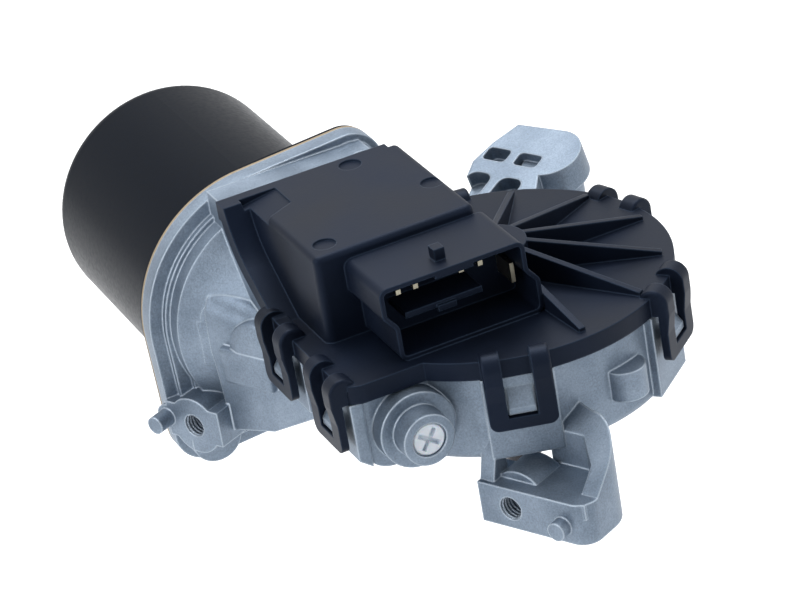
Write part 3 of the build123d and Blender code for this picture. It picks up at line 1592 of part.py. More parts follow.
with BuildPart() as shaft_ring:
    with BuildSketch(Plane.XZ):
        with Locations((output_radius + bush_wall / 2, (lower_bush_z + output_bush_length + upper_bush_z) / 2)):
            Circle(bush_wall / 2 - 2 * press_clearance)
    revolve(axis=Axis.Z)
shaft_ring.part.label = "shaft_o_ring"
export_step(shaft_ring.part, "parts/shaft_o_ring.step")

with BuildPart() as thrust_washer:
    with BuildSketch(Plane.XY.offset(floor_top_z)):
        Circle(wheel_hub_radius)
        Circle(output_radius + running_clearance, mode=Mode.SUBTRACT)
    extrude(amount=washer_thickness - press_clearance)
thrust_washer.part.label = "thrust_washer"
export_step(thrust_washer.part, "parts/thrust_washer.step")

# ---- Circuit board with its relay and capacitor, inside the electronics box ----
board_z = rim_z + board_lift
with BuildPart() as circuit_board:
    with BuildSketch(Plane.XY.offset(board_z)):
        with Locations(((box_left + box_right) / 2, (box_front + box_rear) / 2)):
            Rectangle(
                box_right - box_left - 2 * (box_wall + board_gap),
                box_rear - box_front - 2 * (box_wall + board_gap),
            )
    extrude(amount=board_thickness)
circuit_board.part.label = "circuit_board"
export_step(circuit_board.part, "parts/circuit_board.step")

board_top_z = board_z + board_thickness
with BuildPart() as relay:
    with BuildSketch(Plane.XY.offset(board_top_z)):
        with Locations((relay_x, relay_y)):
            Rectangle(relay_width, relay_length)
    extrude(amount=relay_height)
    fillet(relay.edges().filter_by(Axis.Z), plug_chamfer)
relay.part.label = "relay"
export_step(relay.part, "parts/relay.step")

with BuildPart() as capacitor:
    with BuildSketch(Plane.XY.offset(board_top_z)):
        with Locations((capacitor_x, capacitor_y)):
            Circle(capacitor_radius)
    extrude(amount=capacitor_height)
    fillet(capacitor.edges().filter_by(GeomType.CIRCLE).sort_by(Axis.Z)[-1], plug_chamfer)
capacitor.part.label = "capacitor"
export_step(capacitor.part, "parts/capacitor.step")

# ---- Park contacts: three leaf springs from the board to the tracks of the contact disc ----
finger_foot_z = disc_z + disc_thickness + finger_gap
with BuildPart() as park_contacts:
    for x in finger_x:
        with BuildSketch(Plane.YZ.offset(x - finger_width / 2)):
            with BuildLine() as finger_line:
                Polyline(
                    (finger_root_y, board_z),
                    (finger_root_y, board_z - finger_thickness),
                    (finger_root_y - finger_reach * 0.3, board_z - finger_thickness),
                    (finger_tip_y + 1.5, finger_foot_z),
                    (finger_tip_y, finger_foot_z),
                    (finger_tip_y - 1.5, finger_foot_z + 1.2),
                    (finger_tip_y - 1.5, finger_foot_z + 1.2 + finger_thickness),
                    (finger_tip_y, finger_foot_z + finger_thickness),
                    (finger_tip_y + 1.3, finger_foot_z + finger_thickness),
                    (finger_root_y - finger_reach * 0.3, board_z),
                    close=True,
                )
            make_face(finger_line.edges())
        extrude(amount=finger_width)
park_contacts.part.label = "park_contacts"
export_step(park_contacts.part, "parts/park_contacts.step")

# ---- Connector pins: four bent pins and one wide ground blade ----
pin_z = lid_z + pin_height
with BuildPart() as connector_pins:
    for x in pin_x:
        with BuildSketch(Plane.YZ.offset(x - pin_size / 2)):
            Polygon(
                (pin_tip_y, pin_z - pin_size / 2),
                (pin_leg_y + pin_size, pin_z - pin_size / 2),
                (pin_leg_y + pin_size, board_top_z),
                (pin_leg_y, board_top_z),
                (pin_leg_y, pin_z - pin_size * 1.5),
                (pin_tip_y, pin_z - pin_size * 1.5),
                align=None,
            )
        extrude(amount=pin_size)
connector_pins.part.label = "connector_pins"
export_step(connector_pins.part, "parts/connector_pins.step")

with BuildPart() as ground_blade:
    with BuildSketch(Plane.YZ.offset(blade_x)):
        blade_side(0)
    extrude(amount=blade_thickness / 2, both=True)
    with BuildSketch(Plane.XY.offset(rim_z - blade_foot)):
        with Locations((blade_x + blade_thickness / 2, blade_leg_y)):
            Rectangle(blade_foot_reach, blade_leg_width, align=(Align.MAX, Align.MIN))
        with Locations((blade_x + blade_thickness / 2 - blade_foot_reach, blade_leg_y)):
            Rectangle(blade_leg_width, blade_foot_run, align=(Align.MIN, Align.MIN))
    extrude(amount=blade_foot)
ground_blade.part.label = "ground_blade"
export_step(ground_blade.part, "parts/ground_blade.step")

# ---- Leads from the brush plate through the duct to the circuit board ----
duct_middle_z = lid_z + duct_bottom + duct_height / 2
with BuildPart() as motor_leads:
    for x in lead_x:
        with BuildLine() as lead_path:
            FilletPolyline(
                (x, brush_face_y + lead_stands_out, duct_middle_z),
                (x, lead_end_y, duct_middle_z),
                (x, lead_end_y, board_top_z),
                radius=lead_bend,
            )
        with BuildSketch(Plane(origin=lead_path.line @ 0, z_dir=lead_path.line % 0)):
            Circle(lead_radius)
        sweep(path=lead_path.line)
motor_leads.part.label = "motor_leads"
export_step(motor_leads.part, "parts/motor_leads.step")
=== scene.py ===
import math

import bpy
from mathutils import Matrix, Vector


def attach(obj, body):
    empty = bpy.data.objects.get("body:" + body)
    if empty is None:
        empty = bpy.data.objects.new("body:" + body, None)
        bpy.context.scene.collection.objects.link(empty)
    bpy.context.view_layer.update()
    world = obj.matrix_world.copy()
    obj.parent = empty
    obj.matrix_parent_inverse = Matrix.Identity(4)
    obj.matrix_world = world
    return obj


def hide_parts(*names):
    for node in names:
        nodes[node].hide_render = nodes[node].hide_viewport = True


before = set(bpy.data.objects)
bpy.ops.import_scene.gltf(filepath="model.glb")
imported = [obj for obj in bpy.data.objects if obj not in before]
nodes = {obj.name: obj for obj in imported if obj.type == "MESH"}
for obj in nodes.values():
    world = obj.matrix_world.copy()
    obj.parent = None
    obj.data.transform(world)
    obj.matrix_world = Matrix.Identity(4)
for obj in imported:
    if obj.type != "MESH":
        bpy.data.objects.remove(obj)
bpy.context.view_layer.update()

# ---- Studio: camera, soft lamps, floor ----
# A long lens stands 0.86 m in front of the gearbox, 28 degrees up and tilted by 10 degrees.
# The floor lies well below, so that the shadow stays soft.
scene = bpy.context.scene
camera_turn = math.radians(-20.138)
camera_rise = math.radians(27.625)
camera_roll = math.radians(-10.125)
camera_data = bpy.data.cameras.new("camera")
camera_data.sensor_width = 36.0
camera_data.lens = 36.0 * 3619.875 / 800
camera_data.clip_start = 0.01
camera_data.clip_end = 20.0
camera = bpy.data.objects.new("camera", camera_data)
scene.collection.objects.link(camera)
camera.matrix_world = (
    Matrix.Translation((-0.28424, -0.70808, 0.46234))
    @ Matrix.Rotation(camera_turn, 4, "Z")
    @ Matrix.Rotation(math.pi / 2 - camera_rise, 4, "X")
    @ Matrix.Rotation(camera_roll, 4, "Z")
)
scene.camera = camera
scene.view_settings.view_transform = "Standard"


def colour(hex_code):
    """Turns an sRGB hex colour into the linear colour a socket takes."""
    parts = [int(hex_code[i:i + 2], 16) / 255 for i in (1, 3, 5)]
    return [p / 12.92 if p < 0.04045 else ((p + 0.055) / 1.055) ** 2.4 for p in parts] + [1.0]


def put(tree, kind, sockets=None, **settings):
    """Adds one node, sets its properties, and fills its sockets with values or links."""
    made = tree.nodes.new(kind)
    for name, value in settings.items():
        setattr(made, name, value)
    for name, value in (sockets or {}).items():
        if isinstance(value, bpy.types.NodeSocket):
            tree.links.new(value, made.inputs[name])
        else:
            made.inputs[name].default_value = value
    return made


def material(name):
    """Starts an empty node material."""
    made = bpy.data.materials.new(name)
    made.use_nodes = True
    made.node_tree.nodes.clear()
    return made


# A lamp is (name, place, size in metres, power in watts); each one looks at the gearbox.
lamp_target = Vector((-0.02, 0.03, 0.06))
lamps = (
    ("overhead", (0.10, 0.35, 1.10), 0.90, 13.0),
    ("left", (-1.10, -0.30, 0.60), 0.70, 7.0),
    ("right", (0.95, -0.75, 0.45), 0.80, 3.0),
)
for lamp_name, lamp_place, lamp_size, lamp_power in lamps:
    lamp_data = bpy.data.lights.new(lamp_name, "AREA")
    lamp_data.size = lamp_size
    lamp_data.energy = lamp_power
    lamp = bpy.data.objects.new(lamp_name, lamp_data)
    scene.collection.objects.link(lamp)
    lamp.location = lamp_place
    lamp.rotation_mode = "QUATERNION"
    lamp.rotation_quaternion = (lamp_target - Vector(lamp_place)).to_track_quat("-Z", "Y")

world = bpy.data.worlds.new("studio")
world.use_nodes = True
tree = world.node_tree
tree.nodes.clear()
seen = put(tree, "ShaderNodeLightPath")
direct = put(tree, "ShaderNodeMath", {0: seen.outputs["Is Camera Ray"], 1: seen.outputs["Is Glossy Ray"]},
             operation="MAXIMUM")
shown = put(tree, "ShaderNodeMath", {0: direct.outputs[0], 1: seen.outputs["Is Transmission Ray"]},
            operation="MAXIMUM")
strength = put(tree, "ShaderNodeMapRange", {0: shown.outputs[0], 3: 0.30, 4: 1.0})
white = put(tree, "ShaderNodeBackground", {"Color": colour("#FFFFFF"), "Strength": strength.outputs[0]})
put(tree, "ShaderNodeOutputWorld", {"Surface": white.outputs[0]})
scene.world = world

floor_drop = 0.10
bpy.ops.object.select_all(action="DESELECT")
bpy.ops.mesh.primitive_plane_add(size=6.0, location=(0, 0, -floor_drop))
floor = bpy.context.active_object
floor.name = "floor"
floor_paint = material("white_card")
tree = floor_paint.node_tree
seen = put(tree, "ShaderNodeLightPath")
direct = put(tree, "ShaderNodeMath", {0: seen.outputs["Is Camera Ray"], 1: seen.outputs["Is Glossy Ray"]},
             operation="MAXIMUM")
card = put(tree, "ShaderNodeBsdfDiffuse", {"Color": colour("#F4F5F6")})
glow = put(tree, "ShaderNodeEmission", {"Color": colour("#FFFFFF"), "Strength": 0.45})
both = put(tree, "ShaderNodeAddShader", {0: card.outputs[0], 1: glow.outputs[0]})
choice = put(tree, "ShaderNodeMixShader", {0: direct.outputs[0], 1: card.outputs[0], 2: both.outputs[0]})
put(tree, "ShaderNodeOutputMaterial", {"Surface": choice.outputs[0]})
floor.data.materials.append(floor_paint)

# ---- Gear housing: casting ----
# Pressure die casting in silicon aluminium, tumbled and fine blasted: a satin, faintly pebbled
# skin with slow changes of tone, and a painted highlight, a paler colour, along its rounded edges.
# It carries the flank wall, the clip pads and the tapped mounting holes in one piece.
cast_grain = 0.00045
cast_cloud = 0.014
edge_radius = 0.0008
cast_skin = material("blasted_die_cast_aluminium")
tree = cast_skin.node_tree
place = put(tree, "ShaderNodeTexCoord").outputs["Object"]
grain = put(tree, "ShaderNodeTexNoise", {"Vector": place, "Scale": 1 / cast_grain, "Detail": 3.0,
                                         "Roughness": 0.6})
cloud = put(tree, "ShaderNodeTexNoise", {"Vector": place, "Scale": 1 / cast_cloud, "Detail": 5.0,
                                         "Roughness": 0.55})
pits = put(tree, "ShaderNodeTexVoronoi", {"Vector": place, "Scale": 260.0})
pit_edge = put(tree, "ShaderNodeMapRange", {0: pits.outputs["Distance"], 1: 0.02, 2: 0.10})
tone = put(tree, "ShaderNodeValToRGB", {0: cloud.outputs[0]})
tone.color_ramp.elements[0].position = 0.35
tone.color_ramp.elements[0].color = colour("#687686")
tone.color_ramp.elements[1].position = 0.66
tone.color_ramp.elements[1].color = colour("#8593A3")
fleck = put(tree, "ShaderNodeMapRange", {0: grain.outputs[0], 1: 0.3, 2: 0.7, 3: 0.80, 4: 1.16})
flecked = put(tree, "ShaderNodeMix", {0: 1.0, 6: tone.outputs[0], 7: fleck.outputs[0]},
              data_type="RGBA", blend_type="MULTIPLY")
shine = put(tree, "ShaderNodeMapRange", {0: cloud.outputs[0], 1: 0.3, 2: 0.7, 3: 0.40, 4: 0.52})
height = put(tree, "ShaderNodeMath", {0: grain.outputs[0], 1: pit_edge.outputs[0], 2: 0.6},
             operation="MULTIPLY_ADD")
rounded = put(tree, "ShaderNodeBevel", {"Radius": edge_radius}, samples=6)
true_face = put(tree, "ShaderNodeNewGeometry").outputs["Normal"]
facing = put(tree, "ShaderNodeVectorMath", {0: rounded.outputs[0], 1: true_face},
             operation="DOT_PRODUCT")
# Painted highlight: where the bevelled normal bends away from the face, the colour is mixed towards a
# pale blue-grey.
painted_edge_highlight = put(tree, "ShaderNodeMapRange", {0: facing.outputs["Value"], 1: 0.80, 2: 0.985, 3: 1.0, 4: 0.0})
edge_highlight_tone = put(tree, "ShaderNodeMix", {0: painted_edge_highlight.outputs[0], 6: flecked.outputs[2],
                                        7: colour("#BAC7D5")}, data_type="RGBA")
pebble = put(tree, "ShaderNodeBump", {"Height": height.outputs[0], "Strength": 0.7,
                                      "Distance": 0.00012, "Normal": rounded.outputs[0]})
skin = put(tree, "ShaderNodeBsdfPrincipled", {
    "Base Color": edge_highlight_tone.outputs[2], "Metallic": 0.6, "Roughness": shine.outputs[0],
    "Normal": pebble.outputs[0],
})
put(tree, "ShaderNodeOutputMaterial", {"Surface": skin.outputs[0]})

# Lengths along the mounting face, into the part and up are x, y and z of mount_frame.
mount_frame = (Matrix.Translation((-0.03515, -0.01845, 0.0297))
               @ Matrix.Rotation(math.radians(-62.3), 4, "Z"))
merge_gap = 0.000002
crease = math.radians(32)


def begin(shape, **sizes):
    """Adds one primitive with nothing else selected and opens it in edit mode."""
    if bpy.context.object and bpy.context.object.mode == "EDIT":
        bpy.ops.object.mode_set(mode="OBJECT")
    bpy.ops.object.select_all(action="DESELECT")
    getattr(bpy.ops.mesh, f"primitive_{shape}_add")(**sizes)
    bpy.ops.object.transform_apply(location=True, rotation=True, scale=True)
    bpy.ops.object.mode_set(mode="EDIT")
    return bpy.context.object


def pick(obj, test, kind="polygons"):
    """Selects the polygons, edges or vertices of a mesh that pass a test, in edit mode."""
    bpy.ops.mesh.select_all(action="DESELECT")
    bpy.ops.object.mode_set(mode="OBJECT")
    for element in getattr(obj.data, kind):
        element.select = bool(test(element))
    bpy.ops.object.mode_set(mode="EDIT")


def take_up(obj):
    """Leaves edit mode and makes one object the only one selected."""
    if bpy.context.object and bpy.context.object.mode == "EDIT":
        bpy.ops.object.mode_set(mode="OBJECT")
    bpy.ops.object.select_all(action="DESELECT")
    bpy.context.view_layer.objects.active = obj
    obj.select_set(True)


def boolean(obj, cutter, operation):
    """Cuts or meets one mesh with another, and deletes the other."""
    take_up(obj)
    cut = obj.modifiers.new("cut", "BOOLEAN")
    cut.object = cutter
    cut.operation = operation
    cut.solver = "EXACT"
    bpy.ops.object.modifier_apply(modifier=cut.name)
    bpy.data.objects.remove(cutter)


def place_in(frame_matrix, obj):
    """Moves a finished mesh from a local frame to its place, and leaves its object at the origin."""
    bpy.ops.object.mode_set(mode="OBJECT")
    obj.matrix_world = frame_matrix
    bpy.ops.object.transform_apply(location=True, rotation=True, scale=True)


def merged_copy(node_name, new_name):
    """Copies a solid's loose triangles into a new object and closes them up."""
    made = nodes[node_name].copy()
    made.data = nodes[node_name].data.copy()
    made.name = new_name
    scene.collection.objects.link(made)
    for key in list(made.keys()):
        del made[key]
    take_up(made)
    bpy.ops.object.mode_set(mode="EDIT")
    bpy.ops.mesh.select_all(action="SELECT")
    bpy.ops.mesh.remove_doubles(threshold=merge_gap)
    bpy.ops.mesh.customdata_custom_splitnormals_clear()
    bpy.ops.object.mode_set(mode="OBJECT")
    return made


def join_parts(piece, parts, finish):
    """Joins shaped parts to their piece, smooths it between its creases, and gives it a finish."""
    take_up(piece)
    for part in parts:
        part.data.materials.clear()
        part.select_set(True)
    bpy.ops.object.join()
    bpy.ops.object.shade_smooth_by_angle(angle=crease)
    piece.data.materials.clear()
    piece.data.materials.append(finish)


casting = merged_copy("gear_housing", "gear_housing_casting")

# The plain ledge is cut away down to the funnel. The air round the funnel is part of a torus.
funnel_centre = (-0.0371, 0.00904, 0.0514)
funnel_air = begin("torus", location=funnel_centre, rotation=(math.radians(90), 0, 0),
                   major_segments=256, minor_segments=192, major_radius=0.05142,
                   minor_radius=0.04204)
plain_ledge = begin("cube", size=1, location=(-0.0585, 0.034, 0.05425),
                    scale=(0.0170, 0.0236, 0.0195))
boolean(plain_ledge, funnel_air, "INTERSECT")
boolean(casting, plain_ledge, "DIFFERENCE")

# The two left clip pads run out on a slope just under the catches.
pad_slope = begin("cube", size=1, location=(-0.0522, -0.0055, 0.0408),
                  rotation=(0, math.radians(38.3), 0), scale=(0.0140, 0.0570, 0.0100))
boolean(casting, pad_slope, "DIFFERENCE")

# Flank wall: a slab 5 mm behind the mounting face, trimmed to the outline of the foot, with a
# rounded shoulder along its top.
wall_front = 0.0050
wall_depth = 0.0110
shoulder_foot = 0.0270
wall = begin("cube", size=1, location=(-0.0470, wall_front + wall_depth / 2, 0.0160),
             scale=(0.0332, wall_depth, 0.0390))
wall_top = ((-0.0630, 0, 0.0350), (0.20, 0, 0.98))
wall_foot = ((-0.0476, 0, 0.0006), (0.18, 0, -0.98))
wall_rise = ((-0.0476, 0, 0.0006), (0.44, 0, -0.90))
wall_side = ((-0.0628, 0, 0.0100), (-1.0, 0, -0.08))
for corner, outward in (wall_top, wall_foot, wall_rise, wall_side):
    bpy.ops.mesh.select_all(action="SELECT")
    bpy.ops.mesh.bisect(plane_co=corner, plane_no=outward, use_fill=True, clear_outer=True)
pick(wall, lambda e: all(abs(wall.data.vertices[v].co.y - wall_front) < 1e-5
                         and wall.data.vertices[v].co.z > shoulder_foot for v in e.vertices), "edges")
bpy.ops.mesh.bevel(offset=0.0060, segments=10, profile=0.5)
place_in(mount_frame, wall)

# Shelf: a pad 2.5 mm proud of the wall, under the round steps.
shelf = begin("cube", size=1, location=(-0.0512, 0.0060, 0.0180), scale=(0.0158, 0.0070, 0.0095))
pick(shelf, lambda f: f.normal.z < -0.9)
bpy.ops.transform.resize(value=(0.94, 1.0, 1.0))
pick(shelf, lambda f: f.normal.y < -0.9)
bpy.ops.mesh.region_to_loop()
bpy.ops.mesh.bevel(offset=0.0009, segments=3, profile=0.5)
place_in(mount_frame, shelf)

# Round steps: two discs on one centre, each with a rolled rim.
steps = begin("cylinder", vertices=96, radius=0.0079, depth=0.0060, location=(-0.0483, 0.0068, 0.0229),
              rotation=(math.radians(90), 0, 0))
pick(steps, lambda f: f.normal.y < -0.9)
bpy.ops.mesh.bevel(offset=0.0006, segments=3, profile=0.5)
pick(steps, lambda f: f.normal.y < -0.99)
bpy.ops.mesh.inset(thickness=0.0024)
bpy.ops.transform.translate(value=(0, -0.0009, 0))
bpy.ops.mesh.bevel(offset=0.0005, segments=2, profile=0.5)
place_in(mount_frame, steps)


def wound_ridge(turns, pitch, root, height, outwards):
    """Winds a three-cornered ridge round z from z = 0, standing outwards or inwards from its root."""
    ridge = begin("circle", vertices=3, radius=height * 2 / 3, location=(root, 0, 0),
                  rotation=(math.radians(90), math.radians(-90 if outwards else 90), 0))
    bpy.ops.object.mode_set(mode="OBJECT")
    winding = ridge.modifiers.new("winding", "SCREW")
    winding.axis = "Z"
    winding.screw_offset = pitch
    winding.iterations = turns
    winding.steps = 40
    winding.render_steps = 40
    bpy.ops.object.modifier_apply(modifier=winding.name)
    bpy.ops.object.mode_set(mode="EDIT")
    bpy.ops.mesh.select_all(action="SELECT")
    bpy.ops.mesh.remove_doubles(threshold=merge_gap)
    bpy.ops.mesh.fill_holes(sides=3)
    bpy.ops.mesh.select_all(action="SELECT")
    bpy.ops.mesh.normals_make_consistent(inside=False)
    return ridge


# Mounting threads: M6 x 1, cut after casting, one ridge wound up each bore.
arm_hole = (0.038086, 0.044956)
threads = []
into_face = Matrix.Rotation(math.radians(-90), 4, "X")
for turns, bore_place in (
    (10, mount_frame @ Matrix.Translation((0.0273, 0.0006, 0)) @ into_face),
    (8, mount_frame @ Matrix.Translation((-0.0698, 0.0006, 0)) @ into_face),
    (8, Matrix.Translation((*arm_hole, 0.055507))),
):
    thread = wound_ridge(turns, 0.0010, 0.0029, 0.00055, False)
    place_in(bore_place, thread)
    threads.append(thread)

# The arm's bore is blind: its end is a shallow drilled cone under the pocket floor.
bore_end = begin("cylinder", vertices=48, radius=0.00325, depth=0.0010, location=(*arm_hole, 0.0642))
pick(bore_end, lambda f: f.normal.z < -0.9)
bpy.ops.mesh.inset(thickness=0.0028)
bpy.ops.transform.translate(value=(0, 0, 0.0006))

join_parts(casting, (wall, shelf, steps, bore_end, *threads), cast_skin)
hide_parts("gear_housing")
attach(casting, "housing")
nodes["gear_housing"].material_slots[0].material = cast_skin

# ---- Gear cover ----
# Injection moulding in black glass-filled nylon with an eroded mould texture: a fine matte
# grain with a blue-grey sheen on faces turned to the light, and a painted blue-grey highlight along
# rounded edges.
mould_grain = 0.00045
mould_edge = 0.0006
cover_plastic = material("black_glass_filled_nylon")
tree = cover_plastic.node_tree
place = put(tree, "ShaderNodeTexCoord").outputs["Object"]
grain = put(tree, "ShaderNodeTexNoise", {"Vector": place, "Scale": 1 / mould_grain, "Detail": 2.0})
flow = put(tree, "ShaderNodeTexNoise", {"Vector": place, "Scale": 45.0, "Detail": 4.0})
tone = put(tree, "ShaderNodeValToRGB", {0: flow.outputs[0]})
tone.color_ramp.elements[0].position = 0.3
tone.color_ramp.elements[0].color = colour("#0A0E17")
tone.color_ramp.elements[1].position = 0.7
tone.color_ramp.elements[1].color = colour("#0F1624")
shine = put(tree, "ShaderNodeMapRange", {0: flow.outputs[0], 1: 0.3, 2: 0.7, 3: 0.42, 4: 0.52})
rounded = put(tree, "ShaderNodeBevel", {"Radius": mould_edge}, samples=6)
true_face = put(tree, "ShaderNodeNewGeometry").outputs["Normal"]
facing = put(tree, "ShaderNodeVectorMath", {0: rounded.outputs[0], 1: true_face},
             operation="DOT_PRODUCT")
# Painted highlight: rounded edges are mixed towards a lighter blue-grey.
painted_edge_sheen = put(tree, "ShaderNodeMapRange", {0: facing.outputs["Value"], 1: 0.80, 2: 0.985, 3: 1.0, 4: 0.0})
edge_sheen_tone = put(tree, "ShaderNodeMix", {0: painted_edge_sheen.outputs[0], 6: tone.outputs[0],
                                        7: colour("#2C3849")}, data_type="RGBA")
bumps = put(tree, "ShaderNodeBump", {"Height": grain.outputs[0], "Strength": 0.35,
                                     "Distance": 0.00006, "Normal": rounded.outputs[0]})
skin = put(tree, "ShaderNodeBsdfPrincipled", {
    "Base Color": edge_sheen_tone.outputs[2], "Roughness": shine.outputs[0], "IOR": 1.53,
    "Specular IOR Level": 0.2, "Specular Tint": colour("#A9C2EE"),
    "Normal": bumps.outputs[0],
})
put(tree, "ShaderNodeOutputMaterial", {"Surface": skin.outputs[0]})
nodes["gear_cover"].material_slots[0].material = cover_plastic

# ---- Motor can ----
# Deep-drawn steel cup, screwed to the casting by its flange ears. The baked black enamel has
# a soft gloss and a faint orange peel.
peel_size = 0.0016
can_paint = material("black_baked_enamel")
tree = can_paint.node_tree
place = put(tree, "ShaderNodeTexCoord").outputs["Object"]
peel = put(tree, "ShaderNodeTexNoise", {"Vector": place, "Scale": 1 / peel_size, "Detail": 1.0})
dust = put(tree, "ShaderNodeTexNoise", {"Vector": place, "Scale": 900.0, "Detail": 2.0})
tone = put(tree, "ShaderNodeMix", {0: dust.outputs[0], 6: colour("#070B12"), 7: colour("#0C121C")},
           data_type="RGBA")
shine = put(tree, "ShaderNodeMapRange", {0: dust.outputs[0], 1: 0.35, 2: 0.75, 3: 0.28, 4: 0.38})
waves = put(tree, "ShaderNodeBump", {"Height": peel.outputs[0], "Strength": 0.10,
                                     "Distance": 0.00005})
skin = put(tree, "ShaderNodeBsdfPrincipled", {
    "Base Color": tone.outputs[2], "Roughness": shine.outputs[0], "IOR": 1.5,
    "Specular IOR Level": 0.05, "Specular Tint": colour("#A9BEDD"), "Normal": waves.outputs[0],
})
put(tree, "ShaderNodeOutputMaterial", {"Surface": skin.outputs[0]})
nodes["motor_can"].material_slots[0].material = can_paint

# ---- Can gasket ----
# Compressed fibre paper, tan, punched to the flange outline and clamped behind it. Short
# fibres show in it, and its edge is a thin line.
fibre_paper = material("compressed_fibre_paper")
tree = fibre_paper.node_tree
place = put(tree, "ShaderNodeTexCoord").outputs["Object"]
fibres = put(tree, "ShaderNodeTexNoise", {"Vector": place, "Scale": 1400.0, "Detail": 4.0,
                                          "Distortion": 1.5})
tone = put(tree, "ShaderNodeMix", {0: fibres.outputs[0], 6: colour("#857561"), 7: colour("#B5A68D")},
           data_type="RGBA")
fuzz = put(tree, "ShaderNodeBump", {"Height": fibres.outputs[0], "Strength": 0.4, "Distance": 0.0001})
skin = put(tree, "ShaderNodeBsdfPrincipled", {"Base Color": tone.outputs[2], "Roughness": 0.85,
                                              "Normal": fuzz.outputs[0]})
put(tree, "ShaderNodeOutputMaterial", {"Surface": skin.outputs[0]})
nodes["can_gasket"].material_slots[0].material = fibre_paper

# ---- Thrust screw ----
# Turned plug of natural nylon, screwed in against the end of the armature shaft to take up
# its play: milky white and slightly translucent.
natural_nylon = material("natural_nylon")
tree = natural_nylon.node_tree
place = put(tree, "ShaderNodeTexCoord").outputs["Object"]
haze = put(tree, "ShaderNodeTexNoise", {"Vector": place, "Scale": 420.0, "Detail": 3.0})
tone = put(tree, "ShaderNodeMix", {0: haze.outputs[0], 6: colour("#CFDAE6"), 7: colour("#E9F0F7")},
           data_type="RGBA")
marks = put(tree, "ShaderNodeBump", {"Height": haze.outputs[0], "Strength": 0.2, "Distance": 0.0001})
skin = put(tree, "ShaderNodeBsdfPrincipled", {
    "Base Color": tone.outputs[2], "Roughness": 0.42, "IOR": 1.53, "Subsurface Weight": 0.15,
    "Subsurface Scale": 0.001, "Normal": marks.outputs[0],
})
put(tree, "ShaderNodeOutputMaterial", {"Surface": skin.outputs[0]})
nodes["thrust_screw"].material_slots[0].material = natural_nylon

# ---- Rubber seals ----
# Cover gasket, dust seal and shaft ring: moulded nitrile rubber, pressed into their grooves,
# black and matte with a slight bloom.
nitrile = material("nitrile_rubber")
tree = nitrile.node_tree
place = put(tree, "ShaderNodeTexCoord").outputs["Object"]
bloom = put(tree, "ShaderNodeTexNoise", {"Vector": place, "Scale": 300.0, "Detail": 4.0})
tone = put(tree, "ShaderNodeMix", {0: bloom.outputs[0], 6: colour("#0E0F10"), 7: colour("#1E2022")},
           data_type="RGBA")
rub = put(tree, "ShaderNodeBump", {"Height": bloom.outputs[0], "Strength": 0.2, "Distance": 0.0001})
skin = put(tree, "ShaderNodeBsdfPrincipled", {"Base Color": tone.outputs[2], "Roughness": 0.7,
                                              "Normal": rub.outputs[0]})
put(tree, "ShaderNodeOutputMaterial", {"Surface": skin.outputs[0]})
for name in ("cover_gasket", "dust_seal", "shaft_o_ring"):
    nodes[name].material_slots[0].material = nitrile

# ---- Connector pins, ground blade, brush holders and park contacts ----
# Punched and bent from brass strip with a matte tin plate. Rolling left fine lines along
# the strip.
tinned_brass = material("tinned_brass_strip")
tree = tinned_brass.node_tree
place = put(tree, "ShaderNodeTexCoord").outputs["Object"]
strip = put(tree, "ShaderNodeMapping", {"Vector": place, "Scale": (9000.0, 300.0, 9000.0)})
lines = put(tree, "ShaderNodeTexNoise", {"Vector": strip.outputs[0], "Scale": 1.0, "Detail": 2.0})
tone = put(tree, "ShaderNodeMix", {0: lines.outputs[0], 6: colour("#8F8A78"), 7: colour("#B5B0A0")},
           data_type="RGBA")
scratch = put(tree, "ShaderNodeBump", {"Height": lines.outputs[0], "Strength": 0.15,
                                       "Distance": 0.00005})
skin = put(tree, "ShaderNodeBsdfPrincipled", {"Base Color": tone.outputs[2], "Metallic": 1.0,
                                              "Roughness": 0.32, "Normal": scratch.outputs[0]})
put(tree, "ShaderNodeOutputMaterial", {"Surface": skin.outputs[0]})
for name in ("connector_pins", "ground_blade", "brush_holders", "park_contacts"):
    nodes[name].material_slots[0].material = tinned_brass

# ---- Screws, washers, spring clips ----
# Formed, punched and wound steel, zinc plated: bright, slightly blue, with the spangle of
# the passivation.
zinc_plate = material("zinc_plated_steel")
tree = zinc_plate.node_tree
place = put(tree, "ShaderNodeTexCoord").outputs["Object"]
spangle = put(tree, "ShaderNodeTexVoronoi", {"Vector": place, "Scale": 700.0})
tone = put(tree, "ShaderNodeMix", {0: spangle.outputs["Distance"], 6: colour("#B5BAC2"),
                                   7: colour("#D5D9DE")}, data_type="RGBA")
shine = put(tree, "ShaderNodeMapRange", {0: spangle.outputs["Distance"], 3: 0.26, 4: 0.38})
skin = put(tree, "ShaderNodeBsdfPrincipled", {"Base Color": tone.outputs[2], "Metallic": 1.0,
                                              "Roughness": shine.outputs[0]})
put(tree, "ShaderNodeOutputMaterial", {"Surface": skin.outputs[0]})
zinc_pieces = ("can_screws", "thrust_pads", "bearing_retainer", "magnet_clips", "brush_springs",
               "retaining_ring", "outer_washer", "thrust_washer")
for name in zinc_pieces:
    nodes[name].material_slots[0].material = zinc_plate

